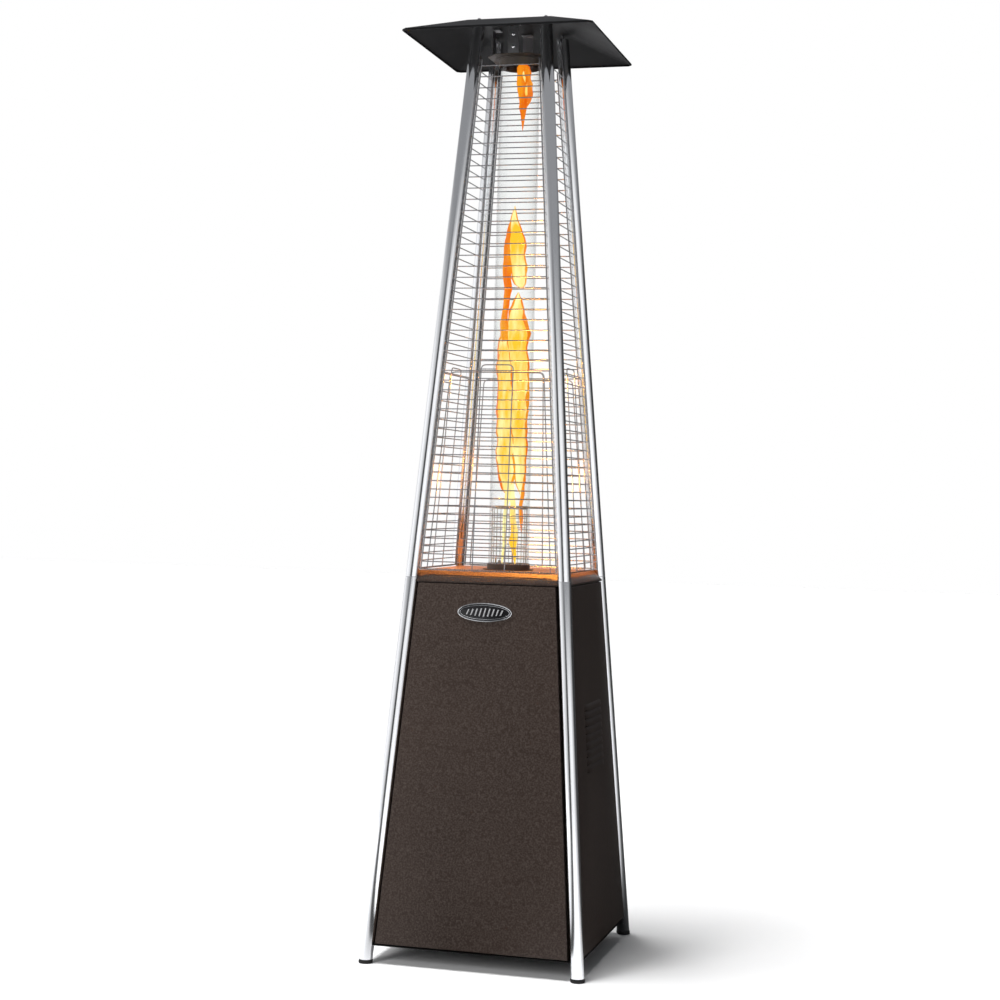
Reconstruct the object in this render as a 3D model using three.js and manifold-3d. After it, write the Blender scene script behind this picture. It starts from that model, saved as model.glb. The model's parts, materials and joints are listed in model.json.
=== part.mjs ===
// Four-sided pyramid flame-tube patio heater, in millimetres, +Z up.
// The origin is on the ground at the middle of the four feet. The front faces -Y and the service side +Y.
// Four leaning posts carry everything: the cabinet between their lower halves holds the gas cylinder,
// the burner and the controls, and a glass tube with four wire guards stands between their upper halves.

import * as THREE from 'three';
import { mergeVertices } from 'three/addons/utils/BufferGeometryUtils.js';
import Module from 'manifold-3d';

const wasm = await Module();
wasm.setup();

// ---- Driving dimensions ----

const HEIGHT = 2274; // ground to the top of the hood
const FOOT_HALF = 259.2; // half distance between the post centre lines at the ground
const LEAN = 0.0771; // how far each face leans in for one unit of height
const GAP = 0.3; // clearance between pieces that touch

const POST_R = 16;
const POST_WALL = 1.5;
const POST_SPLIT = 920; // height where the lower and upper posts meet
const FOOT_HEIGHT = 9;
const SHEET = 1.5; // sheet steel of the cabinet, the deck and the hood

const PANEL_BOTTOM = 48;
const PANEL_TOP = 907;
const PANEL_PROUD = 9.5; // how far a panel stands out from the plane of the post centre lines
const PANEL_DEPTH = 26; // depth of the flanges folded back round a panel
const PANEL_TO_POST = 4; // gap between a panel's edge and the post beside it
const DOOR_BOTTOM = PANEL_BOTTOM + 3;
const DOOR_TOP = 795;

const DECK_TOP = 936;
const DECK_LIP = 908.5; // lower edge of the deck's sloping skirt
const BASE_TOP = 45.4; // floor of the cylinder bay

const GLASS_R = 50;
const GLASS_WALL = 2.5;
const GLASS_BOTTOM = DECK_TOP + 2.6;
const GLASS_TOP = 2192;

const WIRE = 2.6; // side of the guard wires' section
const WIRE_PITCH_TOP = 27.4; // spacing of the upper wires
const WIRE_PITCH_BOTTOM = 18.2; // spacing of the lowest wires
const GUARD_BOTTOM = DECK_TOP + 3;
const GUARD_TOP = 2172;

const HOOD_HALF = 233.6; // half width at the hood's rim
const HOOD_RIM = 2224;
const HOOD_FLAT = 110; // half width of the hood's flat top

const TILT = Math.atan(LEAN); // angle between each face and the vertical
const UP_SLOPE = Math.cos(TILT); // height gained for one unit along a face

// ---- Small tools ----

/** Half distance between the post centre lines at height z. */
function postHalf(z) {
  return FOOT_HALF - LEAN * z;
}

/** A closed three.js geometry as a solid, turned inside out if its faces point in. */
function solid(geometry) {
  const bare = geometry.clone();
  bare.deleteAttribute('normal');
  bare.deleteAttribute('uv');
  const merged = mergeVertices(bare, 1e-4);
  const points = merged.attributes.position;
  const corners = [];
  for (let i = 0; i < merged.index.count; i += 3) {
    const [a, b, c] = [0, 1, 2].map((k) => merged.index.getX(i + k));
    if (a !== b && b !== c && c !== a) corners.push([a, b, c]);
  }
  const at = (i) => new THREE.Vector3().fromBufferAttribute(points, i);
  const volume = corners.reduce((sum, [a, b, c]) => sum + at(a).dot(at(b).cross(at(c))), 0);
  const turned = volume < 0 ? corners.map(([a, b, c]) => [a, c, b]) : corners;
  return new wasm.Manifold(new wasm.Mesh({
    numProp: 3,
    vertProperties: new Float32Array(points.array),
    triVerts: new Uint32Array(turned.flat()),
  }));
}

/** A solid as a three.js geometry. */
function geometryOf(body) {
  const mesh = body.getMesh();
  const indexed = new THREE.BufferGeometry();
  indexed.setAttribute('position', new THREE.BufferAttribute(new Float32Array(mesh.vertProperties), 3));
  indexed.setIndex(Array.from(mesh.triVerts));
  return indexed;
}

function box(x0, x1, y0, y1, z0, z1) {
  const geometry = new THREE.BoxGeometry(x1 - x0, y1 - y0, z1 - z0);
  return geometry.translate((x0 + x1) / 2, (y0 + y1) / 2, (z0 + z1) / 2);
}

/** A piece turned about Z: outline is [radius, height] pairs, closed on itself or ending on the axis. */
function turned(outline, segments = 24) {
  const points = outline.map(([r, z]) => new THREE.Vector2(r, z));
  return new THREE.LatheGeometry(points, segments).rotateX(Math.PI / 2);
}

/** A ring or tube about Z with a rectangular section. */
function ring(inner, outer, z0, z1, segments = 24) {
  return turned([[inner, z0], [outer, z0], [outer, z1], [inner, z1], [inner, z0]], segments);
}

/** A round bar about Z. */
function disc(radius, z0, z1, segments = 24) {
  return turned([[0, z0], [radius, z0], [radius, z1], [0, z1]], segments);
}

/** An outline in X and Y, given as [x, y] pairs, drawn up from z0 to z1. */
function prism(outline, z0, z1) {
  const shape = new THREE.Shape(outline.map(([x, y]) => new THREE.Vector2(x, y)));
  const geometry = new THREE.ExtrudeGeometry(shape, { depth: z1 - z0, bevelEnabled: false });
  return geometry.translate(0, 0, z0);
}

/** A plate standing across Y: outline is [x, z] pairs, and the plate runs from y0 to y1. */
function upright(outline, y0, y1) {
  return prism(outline.map(([x, z]) => [x, -z]), y0, y1).rotateX(-Math.PI / 2);
}

/** A section in Y and Z, given as [y, z] pairs, drawn along X from x0 to x1. */
function alongX(section, x0, x1) {
  const swap = new THREE.Matrix4().set(
    0, 0, 1, 0,
    1, 0, 0, 0,
    0, 1, 0, 0,
    0, 0, 0, 1,
  );
  return prism(section, x0, x1).applyMatrix4(swap);
}

/** A square with cut corners, half wide from its middle to each side. */
function cutSquare(half, cut) {
  const near = half - cut;
  return [[-near, -half], [near, -half], [half, -near], [half, near],
    [near, half], [-near, half], [-half, near], [-half, -near]];
}

/** A solid with flat sides through a stack of cut squares, [half, cut, z] from the bottom up. */
function stack(levels) {
  const positions = [];
  levels.forEach(([half, cut, z]) => cutSquare(half, cut).forEach(([x, y]) => positions.push(x, y, z)));
  const sides = 8;
  const index = [];
  for (let level = 0; level + 1 < levels.length; level++) {
    for (let i = 0; i < sides; i++) {
      const a = level * sides + i;
      const b = level * sides + ((i + 1) % sides);
      index.push(a, b, b + sides, a, b + sides, a + sides);
    }
  }
  const top = (levels.length - 1) * sides;
  for (let i = 1; i + 1 < sides; i++) {
    index.push(0, i + 1, i);
    index.push(top, top + i, top + i + 1);
  }
  const geometry = new THREE.BufferGeometry();
  geometry.setAttribute('position', new THREE.BufferAttribute(new Float32Array(positions), 3));
  geometry.setIndex(index);
  return geometry;
}

/** Leans a geometry drawn upright at the corner so that it follows the corner's post. */
function leanWithPost(geometry, signX, signY) {
  const shear = new THREE.Matrix4().set(
    1, 0, -signX * LEAN, signX * FOOT_HALF,
    0, 1, -signY * LEAN, signY * FOOT_HALF,
    0, 0, 1, 0,
    0, 0, 0, 1,
  );
  return geometry.applyMatrix4(shear);
}

function add(first, ...others) {
  return others.reduce((body, other) => body.add(solid(other)), solid(first));
}

function cut(body, ...holes) {
  return holes.reduce((left, hole) => left.subtract(solid(hole)), body);
}

// ---- Materials ----

const FINISH = {
  chrome: { color: 0xc9ccd0, roughness: 0.12, metalness: 1 },
  bronzePaint: { color: 0x3d322d, roughness: 0.5, metalness: 0.35 },
  blackPaint: { color: 0x141414, roughness: 0.45, metalness: 0.2 },
  rubber: { color: 0x0d0d0d, roughness: 0.85, metalness: 0 },
  wire: { color: 0x9a9c9e, roughness: 0.3, metalness: 1 },
  steel: { color: 0xa9abad, roughness: 0.38, metalness: 1 },
  brass: { color: 0xb08b45, roughness: 0.3, metalness: 1 },
  blackPlastic: { color: 0x111111, roughness: 0.5, metalness: 0 },
  ceramic: { color: 0xe8e4da, roughness: 0.5, metalness: 0 },
  gasket: { color: 0xb8b2a6, roughness: 0.9, metalness: 0 },
  glass: { color: 0xf4f7f8, roughness: 0.03, metalness: 0, transparent: true, opacity: 0.2 },
};
const MATERIAL = Object.fromEntries(
  Object.entries(FINISH).map(([name, look]) => [name, new THREE.MeshStandardMaterial(look)]),
);

function piece(name, body, finish) {
  const mesh = new THREE.Mesh(geometryOf(body), MATERIAL[finish].clone());
  mesh.name = name;
  return mesh;
}

const CORNERS = [
  { name: 'front_left', x: -1, y: -1 },
  { name: 'front_right', x: 1, y: -1 },
  { name: 'back_right', x: 1, y: 1 },
  { name: 'back_left', x: -1, y: 1 },
];
const FACES = ['front', 'right', 'back', 'left'];

// ---- Posts ----

const POST_INNER_R = POST_R - POST_WALL;
const POST_TOP = HEIGHT - 12;
const CONNECTOR_HALF = 42; // reach of a connector into each post
const FOOT_PLUG = 34; // reach of a foot's plug into its post

function posts() {
  const group = new THREE.Group();
  for (const corner of CORNERS) {
    const lean = (geometry) => leanWithPost(geometry, corner.x, corner.y);
    const lower = solid(lean(ring(POST_INNER_R, POST_R, FOOT_HEIGHT + GAP, POST_SPLIT)));
    const upper = solid(lean(ring(POST_INNER_R, POST_R, POST_SPLIT + GAP, POST_TOP)));
    const sleeveOuter = POST_INNER_R - GAP;
    const sleeve = solid(lean(ring(sleeveOuter - 2, sleeveOuter,
      POST_SPLIT - CONNECTOR_HALF, POST_SPLIT + CONNECTOR_HALF, 16)));
    const plugR = POST_INNER_R - GAP;
    const foot = solid(lean(turned([
      [0, 0], [POST_R - 1, 0], [POST_R + 1, 2], [POST_R + 1, FOOT_HEIGHT - 1.5], [POST_R, FOOT_HEIGHT],
      [plugR, FOOT_HEIGHT], [plugR - 1, FOOT_HEIGHT + FOOT_PLUG], [0, FOOT_HEIGHT + FOOT_PLUG],
    ])));
    group.add(
      piece(`lower_post_${corner.name}`, lower, 'chrome'),
      piece(`upper_post_${corner.name}`, upper, 'chrome'),
      piece(`post_connector_${corner.name}`, sleeve, 'steel'),
      piece(`foot_cap_${corner.name}`, foot, 'rubber'),
    );
  }
  return group;
}

// ---- Pieces that lie in a leaning face ----
// In a face's own frame X runs across, Y runs in towards the tube and Z runs up the slope from the ground.

/** Puts pieces drawn in a face's frame on the side with this number: 0 front, 1 right, 2 back, 3 left. */
function onFace(number, ...pieces) {
  const side = new THREE.Group();
  side.rotation.z = (number * Math.PI) / 2;
  const plane = new THREE.Group();
  plane.position.y = -FOOT_HALF;
  plane.rotation.x = -TILT;
  plane.add(...pieces);
  side.add(plane);
  return side;
}

/** Distance up the slope, on a panel's outer surface, of height z. */
function slopeAt(z) {
  return (z - PANEL_PROUD * Math.sin(TILT)) / UP_SLOPE;
}

/** Half distance between the post centre lines at a distance s up the slope. */
function slopeHalf(s) {
  return FOOT_HALF - Math.sin(TILT) * s;
}

/** A tapered outline between two distances up the slope, its edges inset from the post centre lines. */
function taper(s0, s1, inset) {
  const low = slopeHalf(s0) - inset;
  const high = slopeHalf(s1) - inset;
  return [[-low, s0], [low, s0], [high, s1], [-high, s1]];
}

/** A panel: a tapered sheet with all four edges folded back. */
function pan(z0, z1) {
  const s0 = slopeAt(z0);
  const s1 = slopeAt(z1);
  const inset = POST_R + PANEL_TO_POST;
  const outside = upright(taper(s0, s1, inset), -PANEL_PROUD, PANEL_DEPTH - PANEL_PROUD);
  const hollow = upright(
    taper(s0 + SHEET, s1 - SHEET, inset + SHEET), SHEET - PANEL_PROUD, PANEL_DEPTH + 10,
  );
  return cut(solid(outside), hollow);
}

const LOUVRES = 9;
const LOUVRE_PITCH = 18.4;
const LOUVRE_HALF = 90;
const LOUVRE_LOWEST = 457;
const LOUVRE_SLOT = 8;
const LOUVRE_PROUD = 5;

/** A louvred panel: over each slot a lip flares out like an awning. */
function louvred(body) {
  const root = -PANEL_PROUD + SHEET / 2; // the lips grow out of the middle of the sheet
  const tip = -PANEL_PROUD - LOUVRE_PROUD;
  let panel = body;
  for (let i = 0; i < LOUVRES; i++) {
    const s = slopeAt(LOUVRE_LOWEST + i * LOUVRE_PITCH);
    const top = s + LOUVRE_SLOT;
    const slot = box(-LOUVRE_HALF, LOUVRE_HALF, -PANEL_PROUD - 5, SHEET - PANEL_PROUD + 5, s, top);
    const lipSection = [[root, top + 3], [tip, top - 3], [tip, top - 3 - SHEET], [root, top - 0.5]];
    const lip = alongX(lipSection, -LOUVRE_HALF, LOUVRE_HALF);
    panel = panel.subtract(solid(slot)).add(solid(lip));
  }
  return panel;
}

// The door swings on two pins beside the back left post, parallel to that post.
const HINGE_INSET = POST_R + PANEL_TO_POST + 7; // from the post's centre line to the hinge axis
const HINGE_Y = 6.5 - PANEL_PROUD; // the hinge axis lies 6.5 behind the outer surface
const PIN_R = 2.5;
const PIN_HOLE_R = 3.1;
const PIN_REACH = 9; // how far each pin reaches past the door's edge
const PIN_STANDOFF = 1.2; // keeps the leaning pin's square end off the plate it stands on

/** A round bar along the door's hinge axis, between two heights. On the back face +X is the left side. */
function alongHinge(radius, z0, z1, segments) {
  const foot = new THREE.Vector3(FOOT_HALF - HINGE_INSET, HINGE_Y, 0);
  const upward = new THREE.Vector3(-Math.sin(TILT), 0, 1).normalize();
  const turn = new THREE.Quaternion().setFromUnitVectors(new THREE.Vector3(0, 0, 1), upward);
  const s0 = slopeAt(z0);
  const s1 = slopeAt(z1);
  return disc(radius, s0, s1, segments).applyQuaternion(turn).translate(foot.x, foot.y, 0);
}

const LATCH_S = slopeAt(DOOR_TOP) - 22; // height of the latch's shaft up the back face
const LATCH_SHAFT_R = 4;
const LATCH_CAM_Y = PANEL_DEPTH - PANEL_PROUD + 2; // the cam turns just behind the folded flanges
const CONTROL_BOTTOM = DOOR_TOP + 4;
const KNOB_X = 62; // controls, across the back face
const BUTTON_X = -62;
const CONTROL_S = (slopeAt(CONTROL_BOTTOM) + slopeAt(PANEL_TOP)) / 2;
const STEM_R = 4;
const KNOB_R = 21;
const BUTTON_R = 9;
const CONTROL_HOLE_CLEARANCE = 0.8;
const KNOB_LIFT = 6; // space under the knob for pushing it in

/** Turns a piece drawn about Z to point out of the face, at x and s with z = 0 on the post plane. */
function outOfFace(geometry, x, s) {
  return geometry.rotateX(Math.PI / 2).translate(x, 0, s);
}

/** A spoked grip: a ring of shallow flutes cut from a round body. */
function fluted(body, radius, fluteR, count, z0, z1) {
  let grip = body;
  for (let i = 0; i < count; i++) {
    const angle = (i * 2 * Math.PI) / count;
    const tool = disc(fluteR, z0, z1, 10).translate(radius * Math.cos(angle), radius * Math.sin(angle), 0);
    grip = grip.subtract(solid(tool));
  }
  return grip;
}

function cabinet() {
  const group = new THREE.Group();
  const fullPan = () => pan(PANEL_BOTTOM, PANEL_TOP);
  group.add(
    onFace(0, piece('front_panel', fullPan(), 'bronzePaint'), piece('emblem', emblem(), 'chrome')),
    onFace(1, piece('right_panel', louvred(fullPan()), 'bronzePaint')),
    onFace(3, piece('left_panel', louvred(fullPan()), 'bronzePaint')),
  );

  const bottomHole = alongHinge(PIN_HOLE_R, DOOR_BOTTOM - 6, DOOR_BOTTOM + 8, 14);
  const topHole = alongHinge(PIN_HOLE_R, DOOR_TOP - 8, DOOR_TOP + 8, 14);
  const holeAt = (radius, x, s) => outOfFace(disc(radius, 0, PANEL_PROUD + 5, 24), x, s);
  const latchHole = holeAt(LATCH_SHAFT_R + 0.4, 0, LATCH_S);
  const door = cut(pan(DOOR_BOTTOM, DOOR_TOP), bottomHole, topHole, latchHole);

  const knobHole = holeAt(STEM_R + CONTROL_HOLE_CLEARANCE, KNOB_X, CONTROL_S);
  const buttonHole = holeAt(BUTTON_R + CONTROL_HOLE_CLEARANCE, BUTTON_X, CONTROL_S);
  const controls = cut(pan(CONTROL_BOTTOM, PANEL_TOP), knobHole, buttonHole);
  // The bottom pin stands on the base plate and the top pin hangs from the control panel's lower flange.
  const bottomPin = alongHinge(PIN_R, BASE_TOP + PIN_STANDOFF, DOOR_BOTTOM + PIN_REACH, 14);
  const topPin = alongHinge(PIN_R, DOOR_TOP - PIN_REACH, CONTROL_BOTTOM - PIN_STANDOFF, 14);

  group.add(onFace(
    2,
    piece('rear_door', door, 'bronzePaint'),
    piece('control_panel', controls, 'bronzePaint'),
    piece('hinge_pin_bottom', solid(bottomPin), 'steel'),
    piece('hinge_pin_top', solid(topPin), 'steel'),
    ...latch(),
    ...controlsOnPanel(),
  ));
  return group;
}

const EMBLEM_HALF = 67; // half width of the oval plate on the front panel
const EMBLEM_RISE = 22.5; // half its height
const EMBLEM_Z = 841;
const EMBLEM_RIM = 3.5;
const EMBLEM_THICK = 3;

/** An oval plate with a raised rim round a sunken field. */
function emblem() {
  const s = slopeAt(EMBLEM_Z);
  const oval = (halfWidth, halfHeight, y0, y1) => {
    const outline = new THREE.Shape().absellipse(0, 0, halfWidth, halfHeight, 0, 2 * Math.PI, false);
    const geometry = new THREE.ExtrudeGeometry(outline, {
      depth: y1 - y0, bevelEnabled: false, curveSegments: 24,
    });
    return geometry.rotateX(Math.PI / 2).translate(0, y1, s);
  };
  const face = -PANEL_PROUD - GAP;
  const plate = solid(oval(EMBLEM_HALF, EMBLEM_RISE, face - EMBLEM_THICK, face));
  const field = oval(EMBLEM_HALF - EMBLEM_RIM, EMBLEM_RISE - EMBLEM_RIM, face - 2 * EMBLEM_THICK, face - 1.6);
  return cut(plate, field);
}

/** The door's quarter-turn latch, drawn released: its wing and its cam lie across the door. */
function latch() {
  const outer = PANEL_PROUD + 0.5;
  const knob = solid(outOfFace(turned([
    [0, outer], [15, outer], [15, outer + 3], [12, outer + 5], [0, outer + 5],
  ]), 0, LATCH_S)).add(solid(
    box(-14, 14, -outer - 16, -outer - 4, LATCH_S - 5, LATCH_S + 5),
  ));
  const cam = solid(box(-9, 36, LATCH_CAM_Y, LATCH_CAM_Y + 3, LATCH_S - 7, LATCH_S + 7))
    .add(solid(outOfFace(disc(LATCH_SHAFT_R, -LATCH_CAM_Y - 1, outer - GAP, 24), 0, LATCH_S)));
  return [piece('latch_knob', knob, 'blackPlastic'), piece('latch_cam', cam, 'steel')];
}

const VALVE_Y = 34; // face of the gas valve's body, in from the post plane
const VALVE_DEPTH = 34;
const VALVE_HALF = 17; // half the body's width and height
const VALVE_NECK = 12; // how far the round neck stands out of the body
const STEM_END = PANEL_PROUD + 22;
const STEM_FOOT = 6 - VALVE_Y - 12; // the stem's inner end lies inside the valve's throat

/** The gas valve with its stem and knob, and the igniter's module with its button. */
function controlsOnPanel() {
  const throat = outOfFace(disc(STEM_R + 0.5, -VALVE_Y - 16, -VALVE_Y + 14, 24), KNOB_X, CONTROL_S);
  const neck = outOfFace(disc(9, -VALVE_Y - 2, -VALVE_Y + VALVE_NECK, 28), KNOB_X, CONTROL_S);
  const valveBody = box(
    KNOB_X - VALVE_HALF, KNOB_X + VALVE_HALF, VALVE_Y, VALVE_Y + VALVE_DEPTH,
    CONTROL_S - VALVE_HALF, CONTROL_S + VALVE_HALF,
  );
  const valve = cut(add(valveBody, neck), throat);
  const underValve = (geometry) => geometry.translate(
    KNOB_X, VALVE_Y + VALVE_DEPTH / 2, CONTROL_S - VALVE_HALF - GAP,
  );
  const inlet = underValve(turned([
    [0, 0], [5, 0], [6.5, -3], [5, -6], [6.5, -9], [5, -12], [6.5, -15], [5, -18], [5, -26], [0, -26],
  ], 20));
  const inletNut = underValve(disc(9, -8, 0, 6));

  const stem = solid(outOfFace(disc(STEM_R, STEM_FOOT, STEM_END, 24), KNOB_X, CONTROL_S));

  const base = PANEL_PROUD + KNOB_LIFT;
  const knobBlank = solid(turned([
    [0, base], [KNOB_R, base], [KNOB_R, base + 4], [KNOB_R - 3, base + 6],
    [KNOB_R - 4, base + 20], [KNOB_R - 6, base + 22], [0, base + 22],
  ], 24));
  const grip = fluted(knobBlank, KNOB_R + 2, 8, 6, base + 6, base + 30);
  const bore = disc(STEM_R + GAP, base - 5, STEM_END + GAP, 24);
  const pointer = box(-1.5, 1.5, 0, KNOB_R - 5, base + 21, base + 23);
  const knob = cut(grip, bore).add(solid(pointer));
  const knobGeometry = outOfFace(geometryOf(knob), KNOB_X, CONTROL_S);

  const collarOuter = BUTTON_R + 4;
  const module = add(
    outOfFace(disc(12, -40, -PANEL_PROUD - 3, 28), BUTTON_X, CONTROL_S),
    box(BUTTON_X - 14, BUTTON_X + 14, 20, 48, CONTROL_S - 14, CONTROL_S + 14),
  );
  const button = turned([
    [0, -2], [BUTTON_R, -2], [BUTTON_R, PANEL_PROUD + 11], [BUTTON_R - 1.5, PANEL_PROUD + 12.5],
    [0, PANEL_PROUD + 12.5],
  ]);
  const bezel = ring(BUTTON_R + CONTROL_HOLE_CLEARANCE, collarOuter, PANEL_PROUD + GAP, PANEL_PROUD + 4);

  return [
    piece('gas_valve', valve, 'brass'),
    piece('valve_inlet', add(inlet, inletNut), 'brass'),
    piece('valve_stem', stem, 'steel'),
    piece('control_knob', solid(knobGeometry), 'blackPlastic'),
    piece('igniter_module', module, 'blackPlastic'),
    piece('igniter_button', solid(outOfFace(button, BUTTON_X, CONTROL_S)), 'blackPlastic'),
    piece('igniter_bezel', solid(outOfFace(bezel, BUTTON_X, CONTROL_S)), 'steel'),
  ];
}

// ---- Base plate, deck and burner ----

const BASE_HALF = postHalf(BASE_TOP) + 8;
const DECK_LIP_HALF = postHalf(DECK_LIP) + PANEL_PROUD;
const DECK_FLAT_HALF = 176; // half width of the deck's level top
const BURNER_HOLE_R = 46;

/** A leaning round hole at each corner that lets the post through. */
function postHoles(z0, z1) {
  return CORNERS.map((corner) => leanWithPost(disc(POST_R + GAP + 0.4, z0, z1, 20), corner.x, corner.y));
}

/** The floor of the cylinder bay, with drain holes that let spilt gas out downwards. */
function basePlate() {
  const plate = solid(stack([[BASE_HALF, 1, BASE_TOP - 2], [BASE_HALF, 1, BASE_TOP]]));
  const drains = [];
  for (let i = 0; i < 4; i++) {
    const angle = (i * Math.PI) / 2 + Math.PI / 4;
    drains.push(disc(22, BASE_TOP - 10, BASE_TOP + 10, 14)
      .translate(70 * Math.cos(angle), 70 * Math.sin(angle), 0));
  }
  return cut(plate, ...postHoles(BASE_TOP - 10, BASE_TOP + 10), ...drains);
}

/** The deck: a level top with a sloping skirt that sheds rain over the panels. */
function deck() {
  const outside = stack([
    [DECK_LIP_HALF - 0.5, 1, DECK_LIP], [DECK_LIP_HALF, 1, DECK_LIP + 4], [DECK_FLAT_HALF, 1, DECK_TOP],
  ]);
  const inside = stack([
    [DECK_LIP_HALF - 0.5 - SHEET, 1, DECK_LIP - 1], [DECK_LIP_HALF - SHEET, 1, DECK_LIP + 3.2],
    [DECK_FLAT_HALF - 0.6, 1, DECK_TOP - SHEET],
  ]);
  const opening = disc(BURNER_HOLE_R, DECK_TOP - 20, DECK_TOP + 10, 28);
  return cut(solid(outside), inside, opening, ...postHoles(DECK_LIP - 10, DECK_TOP + 10));
}

const TRAY_HALF = 92;
const TRAY_BOTTOM = 862;
const VENTURI_Z = 886; // height of the burner's mixing tube
const TRAY_TOP = DECK_TOP - SHEET - GAP;
const SHIELD_HALF = 165;
const SHIELD_TOP = 802;
const HOSE_HOLE_R = 16;
const HOSE_HOLE_Y = 140; // the gas hose passes up to the valve here
const HEAD_R = 30; // the burner head
const HEAD_BOTTOM = 898;
const HEAD_TOP = 940;
const VENTURI_END = 128; // how far back the mixing tube reaches
const PILOT_RING_R = 37; // distance of the pilot, electrode and thermocouple from the tube's axis
const PILOT_TOP = 960;
const ELECTRODE_TOP = 968;
const THERMOCOUPLE_TOP = 966;

/** A round bar drawn along +Y at the height of the mixing tube. */
function alongVenturi(geometry, y) {
  return geometry.rotateX(-Math.PI / 2).translate(0, y, VENTURI_Z);
}

function burnerGroup() {
  const group = new THREE.Group();
  const tray = cut(
    solid(stack([[TRAY_HALF, 6, TRAY_BOTTOM], [TRAY_HALF, 6, TRAY_TOP]])),
    stack([[TRAY_HALF - SHEET, 5, TRAY_BOTTOM + SHEET], [TRAY_HALF - SHEET, 5, TRAY_TOP + 5]]),
    alongVenturi(disc(16, -10, 10, 24), TRAY_HALF),
  );
  const shield = cut(
    solid(stack([[SHIELD_HALF, 12, SHIELD_TOP - SHEET], [SHIELD_HALF, 12, SHIELD_TOP]])),
    disc(HOSE_HOLE_R, SHIELD_TOP - 10, SHIELD_TOP + 10, 24).translate(-KNOB_X, HOSE_HOLE_Y, 0),
  );
  const head = cut(
    solid(turned([
      [0, HEAD_BOTTOM], [12, HEAD_BOTTOM], [12, HEAD_BOTTOM + 8], [HEAD_R, HEAD_BOTTOM + 20],
      [HEAD_R, HEAD_TOP - 6], [HEAD_R - 4, HEAD_TOP - 2], [0, HEAD_TOP],
    ])),
    disc(6, HEAD_BOTTOM - 8, HEAD_TOP - 10, 12),
  );
  const mixer = turned([[0, 4], [8, 4], [8, 74], [11, VENTURI_END], [0, VENTURI_END]], 16);
  const venturi = add(disc(11, VENTURI_Z - 11, HEAD_BOTTOM - 1, 20), alongVenturi(mixer, 0));
  const orifice = add(
    alongVenturi(disc(7, 0.4, 14, 6), VENTURI_END),
    alongVenturi(disc(4, 13, 24, 16), VENTURI_END),
  );
  const around = (geometry, degrees) => {
    const angle = THREE.MathUtils.degToRad(degrees);
    return geometry.translate(PILOT_RING_R * Math.cos(angle), PILOT_RING_R * Math.sin(angle), 0);
  };
  const low = PILOT_TOP - 80; // the three of them start inside the burner tray
  const pilot = add(
    around(disc(2.4, low, PILOT_TOP - 8, 16), -112),
    around(disc(3.6, PILOT_TOP - 16, PILOT_TOP, 6), -112),
  );
  const electrode = add(
    around(disc(2.6, low + 4, ELECTRODE_TOP - 18, 16), -92),
    around(disc(0.9, ELECTRODE_TOP - 28, ELECTRODE_TOP, 10), -92),
  );
  const thermocouple = add(
    around(disc(1.6, low, THERMOCOUPLE_TOP, 14), -134),
    around(disc(2.8, low + 4, THERMOCOUPLE_TOP - 36, 14), -134),
  );
  group.add(
    piece('burner_tray', tray, 'blackPaint'),
    piece('heat_shield', shield, 'steel'),
    piece('burner_head', head, 'steel'),
    piece('venturi_tube', venturi, 'steel'),
    piece('gas_orifice', orifice, 'brass'),
    piece('pilot_tube', pilot, 'steel'),
    piece('igniter_electrode', electrode, 'ceramic'),
    piece('thermocouple', thermocouple, 'brass'),
  );
  return group;
}

const CYLINDER_RING_R = 112; // inside radius

/** The ring on the base plate that keeps the gas cylinder's foot in the middle. */
function cylinderRing() {
  return solid(ring(CYLINDER_RING_R, CYLINDER_RING_R + 3, BASE_TOP + GAP, BASE_TOP + 16, 28));
}

const SWITCH_HALF = 20; // half width of the tilt switch's foot

/** The switch that shuts the gas off if the heater tips: a small sealed box on the base plate. */
function tiltSwitch() {
  const cover = SWITCH_HALF - 6;
  const middle = [-192, 170];
  const foot = box(-SWITCH_HALF, SWITCH_HALF, -SWITCH_HALF, SWITCH_HALF, BASE_TOP + GAP, BASE_TOP + 3);
  const housing = box(-cover, cover, -cover, cover, BASE_TOP + 2, BASE_TOP + 34);
  return add(foot.translate(...middle, 0), housing.translate(...middle, 0));
}

// ---- Glass tube and its fittings ----

const SEAT_R = GLASS_R + 0.8; // inside radius of the rings round the glass
const SCREEN_R = 44; // outside radius of the burner screen
const SCREEN_TOP = 1094;

/** The open burner screen inside the foot of the glass: rings joined by upright bars. */
function burnerScreen() {
  const inner = SCREEN_R - 1.6;
  const low = DECK_TOP + 3;
  const bands = [[low, low + 12], [low + 70, low + 74], [SCREEN_TOP - 9, SCREEN_TOP]];
  let screen = add(...bands.map(([z0, z1]) => ring(inner, SCREEN_R, z0, z1)));
  const bars = 6;
  for (let i = 0; i < bars; i++) {
    const bar = box(inner + 0.1, SCREEN_R - 0.3, -1.5, 1.5, low + 1, SCREEN_TOP - 1);
    screen = screen.add(solid(bar.rotateZ(((i + 0.5) * 2 * Math.PI) / bars)));
  }
  return screen;
}

const PLATE_HALF = 72; // half width of the plate that holds the head of the glass
const PLATE_Z = GLASS_TOP + 4;
const TAB_HALF = 13; // half width of the tabs that rise from the plate to the hood

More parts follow.
